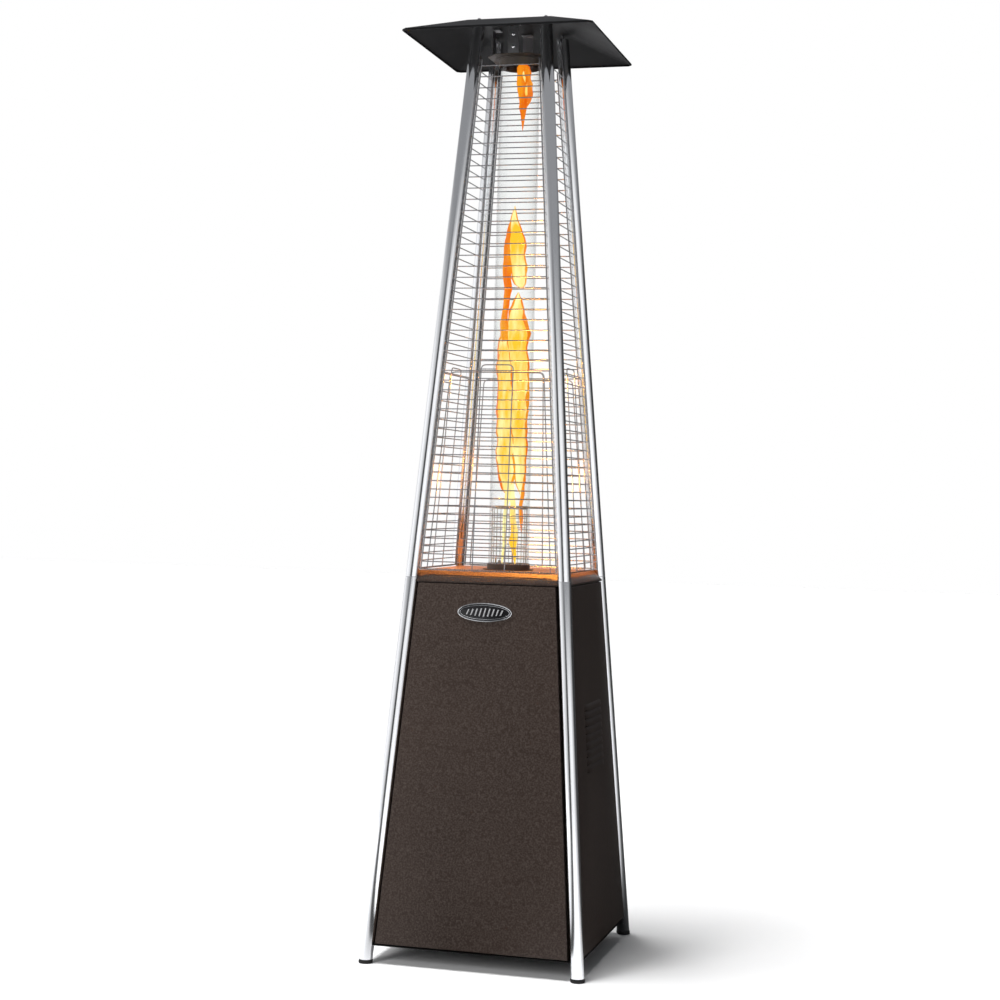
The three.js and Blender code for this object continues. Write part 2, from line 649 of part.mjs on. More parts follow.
/** The plate over the glass, with four tabs folded up and out under the hood. */
function topPlate() {
  const hoodUnder = HEIGHT - SHEET - GAP;
  let plate = cut(
    solid(stack([[PLATE_HALF, 30, PLATE_Z], [PLATE_HALF, 30, PLATE_Z + 2]])),
    disc(GLASS_R - 6, PLATE_Z - 10, PLATE_Z + 10, 28),
  );
  for (let i = 0; i < 4; i++) {
    const section = [
      [-PLATE_HALF + 3, PLATE_Z + 1], [-PLATE_HALF + 1, PLATE_Z + 1], [-PLATE_HALF + 1, hoodUnder],
      [-PLATE_HALF + 21, hoodUnder], [-PLATE_HALF + 21, hoodUnder - 2], [-PLATE_HALF + 3, hoodUnder - 2],
    ];
    const tab = alongX(section, -TAB_HALF, TAB_HALF);
    plate = plate.add(solid(tab.rotateZ((i * Math.PI) / 2)));
  }
  return plate;
}

function glassGroup() {
  const group = new THREE.Group();
  const seat = turned([
    [SEAT_R, DECK_TOP + GAP], [SEAT_R + 12, DECK_TOP + GAP], [SEAT_R + 12, DECK_TOP + 2],
    [SEAT_R + 2, DECK_TOP + 2], [SEAT_R + 2, DECK_TOP + 16], [SEAT_R, DECK_TOP + 16],
    [SEAT_R, DECK_TOP + GAP],
  ], 28);
  const retainerTop = PLATE_Z - GAP;
  const retainer = turned([
    [SEAT_R, retainerTop - 20], [SEAT_R + 2, retainerTop - 20], [SEAT_R + 2, retainerTop - 2],
    [SEAT_R + 10, retainerTop - 2], [SEAT_R + 10, retainerTop], [SEAT_R, retainerTop],
    [SEAT_R, retainerTop - 20],
  ], 28);
  const gasket = ring(BURNER_HOLE_R + 0.5, GLASS_R, DECK_TOP + GAP, GLASS_BOTTOM - GAP);
  const tube = ring(GLASS_R - GLASS_WALL, GLASS_R, GLASS_BOTTOM, GLASS_TOP, 32);
  group.add(
    piece('glass_gasket', solid(gasket), 'gasket'),
    piece('glass_seat_ring', solid(seat), 'steel'),
    piece('glass_tube', solid(tube), 'glass'),
    piece('glass_retainer_ring', solid(retainer), 'steel'),
    piece('burner_screen', burnerScreen(), 'steel'),
    piece('top_plate', topPlate(), 'steel'),
  );
  return group;
}

// ---- Wire guards ----

const ROD_INSET = POST_R + 3.2; // side rods, in from the post centre lines
const STIFFENER_INNER = 40; // half width of the inner hoop, whose legs stand straight up the face
const STIFFENER_OUTER_INSET = POST_R + 18; // the outer hoop's legs follow the posts
const HOOP_INNER_TOP = 1433;
const HOOP_OUTER_TOP = 1415;

/** Heights of the guard's wires: they stand closer together low down. */
function wireHeights() {
  const heights = [];
  const rate = (WIRE_PITCH_TOP - WIRE_PITCH_BOTTOM) / 762; // pitch gained per unit of height
  let z = GUARD_BOTTOM;
  while (z < GUARD_TOP) {
    heights.push(z);
    z += Math.min(WIRE_PITCH_TOP, WIRE_PITCH_BOTTOM + rate * (z - GUARD_BOTTOM));
  }
  return heights;
}

/** A slanted bar of square section across one face, from [x0, s0] to [x1, s1]. */
function bar(x0, s0, x1, s1, size, y) {
  const length = Math.hypot(x1 - x0, s1 - s0);
  const geometry = new THREE.BoxGeometry(size, size, length);
  geometry.rotateY(Math.atan2(x1 - x0, s1 - s0));
  return geometry.translate((x0 + x1) / 2, y, (s0 + s1) / 2);
}

/** A guard: wires across the face, their ends welded into two rods beside the posts. */
function guard() {
  const s = (z) => z / UP_SLOPE;
  const low = s(GUARD_BOTTOM - 2);
  const high = s(GUARD_TOP + 8);
  const rod = (sign) => bar(
    sign * (slopeHalf(low) - ROD_INSET), low, sign * (slopeHalf(high) - ROD_INSET), high, WIRE + 1, 0,
  );
  let grid = solid(rod(-1));
  for (const z of wireHeights()) {
    const reach = slopeHalf(s(z)) - ROD_INSET;
    grid = grid.add(solid(box(-reach, reach, -WIRE / 2, WIRE / 2, s(z) - WIRE / 2, s(z) + WIRE / 2)));
  }
  return grid.add(solid(rod(1)));
}

/** Two hoops, one inside the other, on a foot bar, lying against the inside of the wires. */
function stiffener() {
  const y = WIRE + GAP;
  const s = (z) => z / UP_SLOPE;
  const foot = s(GUARD_BOTTOM - 1);
  const size = WIRE;
  const corner = 10; // cut corner of a hoop
  const hoop = (topZ, halfAt) => {
    const top = s(topZ);
    const shoulder = top - corner;
    const path = [
      [-halfAt(foot), foot], [-halfAt(shoulder), shoulder], [-halfAt(top) + corner, top],
      [halfAt(top) - corner, top], [halfAt(shoulder), shoulder], [halfAt(foot), foot],
    ];
    const grow = size * 0.21; // each straight runs past its ends so that the corners close
    return path.slice(1).map(([x1, s1], i) => {
      const [x0, s0] = path[i];
      const length = Math.hypot(x1 - x0, s1 - s0);
      const dx = ((x1 - x0) / length) * grow;
      const ds = ((s1 - s0) / length) * grow;
      return bar(x0 - dx, s0 - ds, x1 + dx, s1 + ds, size, y);
    });
  };
  const outerHalf = (at) => slopeHalf(at) - STIFFENER_OUTER_INSET;
  const reach = outerHalf(foot);
  return add(
    bar(-reach, foot, reach, foot, size, y),
    ...hoop(HOOP_INNER_TOP, () => STIFFENER_INNER),
    ...hoop(HOOP_OUTER_TOP, outerHalf),
  );
}

function guards() {
  const group = new THREE.Group();
  FACES.forEach((face, number) => {
    group.add(onFace(
      number,
      piece(`guard_${face}`, guard(), 'wire'),
      piece(`guard_hoops_${face}`, stiffener(), 'wire'),
    ));
  });
  return group;
}

// ---- Hood ----

/** The hood: a shallow square tray turned upside down, with cut corners and a folded rim. */
function hood() {
  const rimCut = 9;
  const rim = 5; // height of the upright rim
  const outside = stack([
    [HOOD_HALF, rimCut, HOOD_RIM], [HOOD_HALF, rimCut, HOOD_RIM + rim], [HOOD_FLAT, 7, HEIGHT],
  ]);
  const inside = stack([
    [HOOD_HALF - SHEET, rimCut - 0.6, HOOD_RIM - 1], [HOOD_HALF - SHEET, rimCut - 0.6, HOOD_RIM + rim - 0.9],
    [HOOD_FLAT - 0.6, 6.6, HEIGHT - SHEET],
  ]);
  return cut(solid(outside), inside);
}

const heater = new THREE.Group();
heater.add(
  posts(),
  cabinet(),
  piece('base_plate', basePlate(), 'blackPaint'),
  piece('cylinder_ring', cylinderRing(), 'steel'),
  piece('tilt_switch', tiltSwitch(), 'blackPlastic'),
  piece('deck', deck(), 'bronzePaint'),
  burnerGroup(),
  glassGroup(),
  guards(),
  piece('hood', hood(), 'blackPaint'),
);

export default heater;
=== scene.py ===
"""Looks of the four-sided flame-tube patio heater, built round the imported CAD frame.

Everything is in metres in the frame of the CAD model: +Z up, the front faces -Y and the service side +Y.
"""
import json
import math

import bmesh
import bpy
from mathutils import Matrix, Vector, noise

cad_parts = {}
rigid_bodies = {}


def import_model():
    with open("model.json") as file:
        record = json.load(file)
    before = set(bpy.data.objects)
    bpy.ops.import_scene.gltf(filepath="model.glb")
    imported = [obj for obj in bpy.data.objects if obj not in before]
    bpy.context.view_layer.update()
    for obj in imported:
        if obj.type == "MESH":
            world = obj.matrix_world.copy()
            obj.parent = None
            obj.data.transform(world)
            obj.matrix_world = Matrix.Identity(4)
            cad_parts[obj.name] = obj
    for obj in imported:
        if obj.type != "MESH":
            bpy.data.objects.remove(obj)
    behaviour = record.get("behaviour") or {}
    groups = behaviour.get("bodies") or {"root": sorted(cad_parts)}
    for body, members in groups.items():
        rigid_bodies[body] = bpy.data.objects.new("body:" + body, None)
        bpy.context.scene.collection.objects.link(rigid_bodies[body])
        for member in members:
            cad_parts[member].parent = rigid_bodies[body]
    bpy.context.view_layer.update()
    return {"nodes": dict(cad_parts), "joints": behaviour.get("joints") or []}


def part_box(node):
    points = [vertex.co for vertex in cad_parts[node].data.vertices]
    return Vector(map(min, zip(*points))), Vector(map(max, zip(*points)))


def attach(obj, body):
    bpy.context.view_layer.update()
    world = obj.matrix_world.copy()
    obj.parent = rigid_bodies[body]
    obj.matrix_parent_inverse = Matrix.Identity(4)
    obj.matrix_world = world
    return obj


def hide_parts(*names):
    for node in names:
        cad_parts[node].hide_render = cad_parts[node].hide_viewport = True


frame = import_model()
NODES = frame["nodes"]
JOINTS = {joint["name"]: joint for joint in frame["joints"]}

BODY = "heater_body"
MM = 0.001

# Sizes, from the frame ---------------------------------------

POST_R = 16 * MM
POST_WALL = 1.5 * MM
_low, _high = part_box("lower_post_front_right")
LEAN = ((_high.x - POST_R) - (_low.x + POST_R)) / (_high.z - _low.z)  # lean of each face, per unit of height
FOOT_HALF = _high.x - POST_R + LEAN * _low.z  # half distance between the post centre lines at the ground
TILT = math.atan(LEAN)
SIN, COS = math.sin(TILT), math.cos(TILT)

PANEL_PROUD = 9.5 * MM  # a panel's outer surface, out from the plane of the post centre lines
PANEL_DEPTH = 26 * MM
PANEL_INSET = POST_R + 4 * MM  # a panel's edge, in from the post centre lines
SHEET = 1.5 * MM
GLASS_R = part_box("glass_tube")[1].x
DECK_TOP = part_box("deck")[1].z

CORNERS = {
    "front_left": (-1, -1), "front_right": (1, -1), "back_right": (1, 1), "back_left": (-1, 1),
}
FACES = ("front", "right", "back", "left")


def post_half(z):
    """Half distance between the post centre lines at height z."""
    return FOOT_HALF - LEAN * z


def slope_half(s):
    """The same, at a distance s up the slope of a face."""
    return FOOT_HALF - SIN * s


def face_matrix(number):
    """Frame of a leaning face: X across, Y in towards the tube, Z up the slope. 0 front, 1 right, 2 back, 3 left."""
    return (
        Matrix.Rotation(number * math.pi / 2, 4, "Z")
        @ Matrix.Translation((0, -FOOT_HALF, 0))
        @ Matrix.Rotation(-TILT, 4, "X")
    )


# Camera, light and stage -------------------------------------

def make_camera():
    """A camera at standing height, a little to the right of the front."""
    distance, azimuth, height = 4.708, math.radians(15.15), 1.126
    tilt, roll, aim = math.radians(-0.22), math.radians(1.365), math.radians(0.30)
    data = bpy.data.cameras.new("camera")
    data.sensor_width = 36
    data.lens = 68.5
    data.clip_end = 100
    camera = bpy.data.objects.new("camera", data)
    bpy.context.scene.collection.objects.link(camera)
    heading = azimuth + aim
    ahead = Vector((-math.sin(heading), math.cos(heading), 0))
    right = ahead.cross(Vector((0, 0, 1)))
    ahead_t = ahead * math.cos(tilt) + Vector((0, 0, math.sin(tilt)))
    up_t = Vector((0, 0, math.cos(tilt))) - ahead * math.sin(tilt)
    right_r = right * math.cos(roll) + up_t * math.sin(roll)
    up_r = up_t * math.cos(roll) - right * math.sin(roll)
    turn = Matrix((right_r, up_r, -ahead_t)).transposed()
    place = Vector((distance * math.sin(azimuth), -distance * math.cos(azimuth), height))
    camera.matrix_world = Matrix.Translation(place) @ turn.to_4x4()
    bpy.context.scene.camera = camera


def add_node(tree, kind, inputs=(), **settings):
    """A new shader node, with its settings, and its inputs given as values or as sockets to link from."""
    node = tree.nodes.new("ShaderNode" + kind)
    for name, value in settings.items():
        setattr(node, name, value)
    for socket, value in dict(inputs).items():
        if isinstance(value, bpy.types.NodeSocket):
            tree.links.new(value, node.inputs[socket])
        else:
            node.inputs[socket].default_value = value
    return node


# Brightness round the heater. Position 0 and 1 are straight in front of it, 0.25 its left, 0.5 behind, 0.75 its right.
STUDIO_STOPS = (
    (0.0, 0.05), (0.03, 0.07), (0.075, 0.6), (0.13, 0.9), (0.24, 1.15), (0.3, 1.0), (0.36, 0.85), (0.44, 0.7),
    (0.475, 0.12), (0.5, 0.04), (0.67, 0.04), (0.72, 0.14), (0.77, 0.6), (0.86, 1.1), (0.95, 1.05), (0.985, 0.07),
)


def studio_bands(tree, coords):
    """Brightness of the studio by direction: bright to the left and to the right of the camera, dark
    where the camera stands and behind the heater."""
    split = add_node(tree, "SeparateXYZ", {0: coords})
    turn = add_node(tree, "Math", {0: split.outputs["X"], 1: split.outputs["Y"]}, operation="ARCTAN2")
    unit = add_node(tree, "MapRange", {"From Min": -math.pi, "From Max": math.pi, "Value": turn.outputs[0]})
    ramp = add_node(tree, "ValToRGB", {"Fac": unit.outputs[0]})
    ramp.color_ramp.interpolation = "EASE"
    elements = ramp.color_ramp.elements
    for element, (position, value) in zip(elements, (STUDIO_STOPS[0], STUDIO_STOPS[-1])):
        element.position, element.color = position, (value, value, value, 1)
    for position, value in STUDIO_STOPS[1:-1]:
        elements.new(position).color = (value, value, value * 1.02, 1)
    return ramp.outputs["Color"], split.outputs["Z"]


def make_world():
    """Soft studio surround. The camera itself sees plain white."""
    world = bpy.data.worlds.new("studio")
    bpy.context.scene.world = world
    world.use_nodes = True
    tree = world.node_tree
    tree.nodes.clear()
    bands, height = studio_bands(tree, add_node(tree, "TexCoord").outputs["Generated"])
    overhead = add_node(tree, "MapRange", {"From Min": 0.12, "From Max": 0.36, "Value": height},
                        interpolation_type="SMOOTHSTEP")
    sky = add_node(tree, "Mix", {"Factor": overhead.outputs[0], "A": bands, "B": (0.3, 0.305, 0.32, 1)},
                   data_type="RGBA").outputs["Result"]
    seen = add_node(tree, "Background", {"Color": (1, 1, 1, 1), "Strength": 1.0})
    mirrored = add_node(tree, "Background", {"Color": sky})
    fill = add_node(tree, "Background", {"Color": sky, "Strength": 0.3})
    path = add_node(tree, "LightPath").outputs
    soft = add_node(tree, "MixShader", {0: path["Is Diffuse Ray"], 1: mirrored.outputs[0], 2: fill.outputs[0]})
    choose = add_node(tree, "MixShader", {0: path["Is Camera Ray"], 1: soft.outputs[0], 2: seen.outputs[0]})
    add_node(tree, "OutputWorld", {"Surface": choose.outputs[0]})


def area_light(name, place, aim, size, power):
    """A rectangular lamp at place, turned to aim, that shows in no reflection."""
    data = bpy.data.lights.new(name, "AREA")
    data.shape = "RECTANGLE"
    data.size, data.size_y = size
    data.energy = power
    light = bpy.data.objects.new(name, data)
    bpy.context.scene.collection.objects.link(light)
    light.location = place
    light.rotation_mode = "QUATERNION"
    light.rotation_quaternion = (Vector(aim) - Vector(place)).to_track_quat("-Z", "Y")
    light.visible_glossy = False


def make_stage():
    """The pale floor and the lamps. The floor too looks plain to the camera only; in reflections its colour is painted
    light and shade from the studio bands, and in bounced light it is painted dark.
    """
    bpy.ops.mesh.primitive_plane_add(size=40)
    floor = bpy.context.object
    floor.name = "floor"
    pale = material("floor_pale", base=(0.95, 0.95, 0.95), roughness=0.8, specular=0.1)
    tree = pale.node_tree
    shader = tree.nodes["Principled BSDF"]
    path = add_node(tree, "LightPath").outputs
    bands, _ = studio_bands(tree, add_node(tree, "TexCoord").outputs["Object"])
    # Painted light: reflections see the floor coloured by the studio's bright and dark bands, and bounced light sees it
    # painted dark at 0.15.
    floor_painted_light = mix_colour(tree, path["Is Diffuse Ray"], bands, (0.15, 0.15, 0.15))
    tree.links.new(mix_colour(tree, path["Is Camera Ray"], floor_painted_light, (0.95, 0.95, 0.95)),
                   shader.inputs["Base Color"])
    floor.data.materials.append(pale)
    area_light("key", (-2.0, -3.9, 2.1), (0, 0, 0.8), (1.6, 2.2), 105)
    area_light("back_fill", (-2.4, 3.2, 2.4), (0, 0, 1.0), (1.8, 2.0), 45)
    sun = bpy.data.objects.new("overhead_sun", bpy.data.lights.new("overhead_sun", "SUN"))
    sun.data.energy = 3.3
    sun.data.angle = math.radians(24)
    sun.rotation_mode = "QUATERNION"
    sun.rotation_quaternion = Vector((0.2, 0.1, -1)).to_track_quat("-Z", "Y")
    sun.visible_glossy = False
    bpy.context.scene.collection.objects.link(sun)
    bpy.context.scene.view_settings.view_transform = "Standard"


# Materials ---------------------------------------------------

def material(name, base, roughness, metallic=0.0, coat=0.0, specular=0.5, build=None):
    """A Principled material. build(tree, shader, coords) adds the nodes that vary its surface."""
    look = bpy.data.materials.new(name)
    look.use_nodes = True
    tree = look.node_tree
    shader = tree.nodes["Principled BSDF"]
    shader.inputs["Base Color"].default_value = (*base, 1)
    shader.inputs["Roughness"].default_value = roughness
    shader.inputs["Metallic"].default_value = metallic
    shader.inputs["Coat Weight"].default_value = coat
    shader.inputs["Specular IOR Level"].default_value = specular
    coords = add_node(tree, "TexCoord").outputs["Object"]
    if build:
        build(tree, shader, coords)
    else:
        vary(tree, shader, coords, base, scale=6, colour_amount=0.02, roughness=roughness)
    return look


def noise_node(tree, coords, scale, detail=4.0, stretch=(1, 1, 1)):
    """Noise texture's value, on coordinates stretched along the axes."""
    mapping = add_node(tree, "Mapping", {"Scale": stretch, "Vector": coords})
    inputs = {"Scale": scale, "Detail": detail, "Vector": mapping.outputs[0]}
    return add_node(tree, "TexNoise", inputs).outputs["Fac"]


def to_range(tree, value, low, high, from_low=0.3, from_high=0.7):
    """The value moved from one range to another, and kept inside it."""
    return add_node(tree, "MapRange", {
        "From Min": from_low, "From Max": from_high, "To Min": low, "To Max": high, "Value": value,
    }).outputs[0]


def mix_colour(tree, factor, first, second):
    """A mix of two colours, each a socket or three numbers."""
    pair = [c if isinstance(c, bpy.types.NodeSocket) else (*c, 1) for c in (first, second)]
    inputs = {"Factor": factor, "A": pair[0], "B": pair[1]}
    return add_node(tree, "Mix", inputs, data_type="RGBA").outputs["Result"]


def bump(tree, shader, height, strength, distance):
    """Raises the surface by the height, for its shading only."""
    node = add_node(tree, "Bump", {"Strength": strength, "Distance": distance, "Height": height})
    tree.links.new(node.outputs[0], shader.inputs["Normal"])


def vary(tree, shader, coords, base, scale, colour_amount, roughness, spread=0.06):
    """Slow variation of colour and roughness."""
    value = noise_node(tree, coords, scale)
    dark = [max(0, c * (1 - colour_amount)) for c in base]
    light = [min(1, c * (1 + colour_amount)) for c in base]
    tree.links.new(mix_colour(tree, value, dark, light), shader.inputs["Base Color"])
    tree.links.new(to_range(tree, value, roughness - spread, roughness + spread), shader.inputs["Roughness"])


def hammered(base, speckle, roughness, depth):
    """Hammered paint: shallow round dimples with a fine metallic speckle."""
    def build(tree, shader, coords):
        dimples = add_node(tree, "TexVoronoi", {"Scale": 190, "Vector": coords}, feature="SMOOTH_F1")
        fleck = noise_node(tree, coords, 260, detail=3)
        slow = noise_node(tree, coords, 3.5)
        warm = mix_colour(tree, to_range(tree, slow, 0, 1), [c * 0.86 for c in base], [c * 1.12 for c in base])
        flecked = mix_colour(tree, to_range(tree, fleck, 0, 1, 0.4, 0.75), warm, speckle)
        tree.links.new(flecked, shader.inputs["Base Color"])
        tree.links.new(to_range(tree, fleck, roughness - 0.06, roughness + 0.1), shader.inputs["Roughness"])
        bump(tree, shader, dimples.outputs["Distance"], 0.5, depth)
    return build


def powder(base, roughness):
    """Satin powder coat with a fine orange peel."""
    def build(tree, shader, coords):
        slow = noise_node(tree, coords, 5)
        peel = noise_node(tree, coords, 420, detail=2)
        tree.links.new(
            mix_colour(tree, slow, [c * 0.75 for c in base], [c * 1.35 for c in base]),
            shader.inputs["Base Color"],
        )
        tree.links.new(to_range(tree, slow, roughness - 0.05, roughness + 0.08), shader.inputs["Roughness"])
        bump(tree, shader, peel, 0.25, 0.25 * MM)
    return build


def polished(base, roughness):
    """Polished metal with faint drawing lines along one axis and a few cloudy patches."""
    def build(tree, shader, coords):
        lines = noise_node(tree, coords, 60, detail=3, stretch=(14, 14, 0.6))
        clouds = noise_node(tree, coords, 7)
        tree.links.new(
            mix_colour(tree, clouds, [c * 0.94 for c in base], [min(1, c * 1.03) for c in base]),
            shader.inputs["Base Color"],
        )
        tree.links.new(to_range(tree, lines, max(0.02, roughness - 0.05), roughness + 0.05),
                       shader.inputs["Roughness"])
    return build


def heated(base, roughness):
    """Stainless steel tinted straw and blue by heat."""
    def build(tree, shader, coords):
        patches = noise_node(tree, coords, 22)
        straw = [base[0], base[1] * 0.86, base[2] * 0.62]
        tree.links.new(mix_colour(tree, to_range(tree, patches, 0, 0.8), base, straw), shader.inputs["Base Color"])
        tree.links.new(to_range(tree, patches, roughness - 0.08, roughness + 0.1), shader.inputs["Roughness"])
        bump(tree, shader, noise_node(tree, coords, 300, detail=2), 0.12, 0.1 * MM)
    return build


def bare_material(name):
    """A material with no nodes yet, and its tree."""
    look = bpy.data.materials.new(name)
    look.use_nodes = True
    look.node_tree.nodes.clear()
    return look, look.node_tree


def glass_material():
    """Clear tube glass: what is behind shows straight through, and grazing faces mirror."""
    look, tree = bare_material("tube_glass")
    clear = add_node(tree, "BsdfTransparent", {"Color": (0.985, 0.99, 0.988, 1)})
    gloss = add_node(tree, "BsdfGlossy", {"Roughness": 0.05})
    facing = add_node(tree, "LayerWeight", {"Blend": 0.07}).outputs["Facing"]
    mixed = add_node(tree, "MixShader", {0: facing, 1: clear.outputs[0], 2: gloss.outputs[0]})
    add_node(tree, "OutputMaterial", {"Surface": mixed.outputs[0]})
    return look


def flame_material(name, hot, cool, strength):
    """Glowing gas: bright streaks that rise."""
    look, tree = bare_material(name)
    coords = add_node(tree, "TexCoord").outputs["Object"]
    streaks = noise_node(tree, coords, 34, detail=3, stretch=(1, 1, 0.22))
    colour = mix_colour(tree, to_range(tree, streaks, 0, 1, 0.38, 0.62), cool, hot)
    glow = add_node(tree, "Emission", {"Strength": strength, "Color": colour})
    add_node(tree, "OutputMaterial", {"Surface": glow.outputs[0]})
    return look


BRONZE = (0.044, 0.030, 0.024)
FLAME_COLOUR = (1.0, 0.34, 0.05)


def flame_light(kind, height, power, receivers):
    """The flame's own glow on the receivers: points for the wires, and a spot straight down for the deck."""
    light = bpy.data.objects.new(f"flame_{kind.lower()}_{height:.2f}", bpy.data.lights.new("flame_light", kind))
    light.data.energy = power
    light.data.color = FLAME_COLOUR
    light.data.shadow_soft_size = 0.03
    light.location = (0, 0, height)
    if kind == "SPOT":
        light.data.spot_size = math.radians(46)
        light.data.spot_blend = 1.0
    lit = bpy.data.collections.new(f"lit_by_{light.name}")
    for name in receivers:
        lit.objects.link(bpy.data.objects[name])
    light.light_linking.receiver_collection = lit
    bpy.context.scene.collection.objects.link(light)


# Look: surface, material, slot in the record, colour, roughness, and more settings of material().
SURFACES = {
    "chrome": (polished, "post_chrome", "polished_steel", (0.86, 0.87, 0.88), 0.11, {"metallic": 1}),
    "black": (powder, "hood_powder", "black_paint", (0.007, 0.007, 0.0075), 0.5, {"specular": 0.2}),
    "silver": (powder, "badge_silver", "polished_steel", (0.6, 0.6, 0.61), 0.35, {"metallic": 0.3}),
    "wire": (polished, "wire_plated", "guard_wire", (0.4, 0.4, 0.41), 0.28, {"metallic": 1}),
    "steel": (polished, "steel_satin", "plain_steel", (0.5, 0.5, 0.51), 0.34, {"metallic": 1}),
    "heated": (heated, "steel_heated", "plain_steel", (0.46, 0.44, 0.42), 0.4, {"metallic": 1}),
    # Dark steel whose darkness is partly real soot and partly painted shade for the dark under the hood.
    "soot_and_shade": (heated, "steel_soot_and_shade", "plain_steel", (0.1, 0.09, 0.085), 0.48, {"metallic": 0.7}),
    "brass": (polished, "brass_machined", "brass", (0.62, 0.42, 0.17), 0.3, {"metallic": 1}),
    "plastic": (powder, "plastic_black", "black_plastic", (0.014, 0.014, 0.015), 0.45, {}),
    "rubber": (powder, "rubber_foot", "foot_rubber", (0.012, 0.012, 0.012), 0.75, {}),
    "ceramic": (powder, "ceramic_tip", "ceramic", (0.62, 0.6, 0.54), 0.45, {}),
    "gasket": (powder, "gasket_fibre", "gasket", (0.4, 0.38, 0.34), 0.88, {}),
    "enamel": (powder, "badge_enamel", "black_paint", (0.006, 0.006, 0.007), 0.24, {"coat": 0.4}),
    "mark": (powder, "white_mark", "black_plastic", (0.6, 0.6, 0.58), 0.5, {}),
}
# Flame: brightest colour, darkest colour and strength.
FLAMES = {
    "flame_core": ((1.0, 0.93, 0.42), (1.0, 0.56, 0.035), 1.15),
    "flame_skin": ((1.0, 0.4, 0.02), (0.95, 0.19, 0.006), 1.0),
    "flame_head": ((1.0, 0.36, 0.015), (0.85, 0.12, 0.004), 1.0),
}


def make_looks():
    """Each look is a material and the record's slot that it belongs to."""
    looks = {look: (material(name, base, roughness, build=surface(base, roughness), **more), slot)
             for look, (surface, name, slot, base, roughness, more) in SURFACES.items()}
    panel = hammered(BRONZE, (0.1, 0.078, 0.068), 0.42, 0.6 * MM)
    looks["bronze"] = material("bronze_hammered", BRONZE, 0.42, specular=0.22, build=panel), "bronze_paint"
    lid = hammered([c * 0.8 for c in BRONZE], (0.08, 0.06, 0.05), 0.34, 0.12 * MM)
    looks["deck"] = material("bronze_gloss", BRONZE, 0.34, coat=0.1, specular=0.25, build=lid), "bronze_paint"
    looks["glass"] = glass_material(), "glass"
    looks.update({look: (flame_material(look, *glow), "glass") for look, glow in FLAMES.items()})
    return looks


# Mesh tools --------------------------------------------------

def bare_object(name, shape, matrix=None, weld=False):
    """An object from (vertices, faces), placed by matrix, with its faces turned outwards."""
    vertices, faces = shape
    mesh = bpy.data.meshes.new(name)
    mesh.from_pydata([tuple(v) for v in vertices], [], faces)
    if matrix is not None:
        mesh.transform(matrix)
    build = bmesh.new()
    build.from_mesh(mesh)
    if weld:
        bmesh.ops.remove_doubles(build, verts=build.verts, dist=1e-6)
    bmesh.ops.recalc_face_normals(build, faces=build.faces)
    build.to_mesh(mesh)
    build.free()
    obj = bpy.data.objects.new(name, mesh)
    bpy.context.scene.collection.objects.link(obj)
    return obj


def bevel_edges(obj, width):
    """Rounds the edges that turn by over 40 degrees."""
    edge = obj.modifiers.new("edges", "BEVEL")
    edge.width = width
    edge.segments = 2
    edge.limit_method = "ANGLE"
    edge.angle_limit = math.radians(40)


def make(name, shape, look, stands_for=(), body=BODY, matrix=None, sharp=35, bevel=0.0, solidify=0.0):
    """A piece from (vertices, faces), placed by matrix, riding on body and standing for CAD nodes."""
    obj = bare_object(name, shape, matrix, weld=True)
    finish_look, slot = LOOKS[look]
    obj.data.materials.append(finish_look)
    if solidify:
        thick = obj.modifiers.new("thickness", "SOLIDIFY")
        thick.thickness = solidify
        thick.offset = -1
        thick.use_even_offset = True
    if bevel:
        bevel_edges(obj, bevel)
    if solidify or bevel:
        apply_modifiers(obj)
    mesh = obj.data
    mesh.polygons.foreach_set("use_smooth", [True] * len(mesh.polygons))
    mesh.set_sharp_from_angle(angle=math.radians(sharp))
    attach(obj, body)
    if stands_for:
        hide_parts(*stands_for)
    return obj


def apply_modifiers(obj):
    """Replaces an object's mesh by the mesh that its modifiers make."""
    graph = bpy.context.evaluated_depsgraph_get()
    mesh = bpy.data.meshes.new_from_object(obj.evaluated_get(graph))
    obj.modifiers.clear()
    old, obj.data = obj.data, mesh
    bpy.data.meshes.remove(old)


def cut_from(obj, *tools):
    """Cuts tool objects out of a piece and removes them."""
    for tool in tools:
        cut = obj.modifiers.new("cut", "BOOLEAN")
        cut.operation = "DIFFERENCE"
        cut.solver = "EXACT"
        cut.object = tool
        apply_modifiers(obj)
        bpy.data.objects.remove(tool)


def joined(*shapes):
    """Several shapes as one list of vertices and faces."""
    vertices, faces = [], []
    for more_vertices, more_faces in shapes:
        start = len(vertices)
        vertices.extend(more_vertices)
        faces.extend([tuple(i + start for i in face) for face in more_faces])
    return vertices, faces


def moved(shape, matrix):
    """The shape turned and moved by the matrix."""
    return [matrix @ Vector(v) for v in shape[0]], shape[1]


def lathe(outline, segments=64, closed=True):
    """Turns [radius, height] pairs about Z. closed joins the last pair to the first."""
    vertices, faces = [], []
    for i in range(segments):
        angle = 2 * math.pi * i / segments
        vertices.extend((r * math.cos(angle), r * math.sin(angle), z) for r, z in outline)
    count = len(outline)
    spans = count if closed else count - 1
    for i in range(segments):
        here, there = i * count, (i + 1) % segments * count
        for j in range(spans):
            k = (j + 1) % count
            faces.append((here + j, there + j, there + k, here + k))
    return vertices, faces


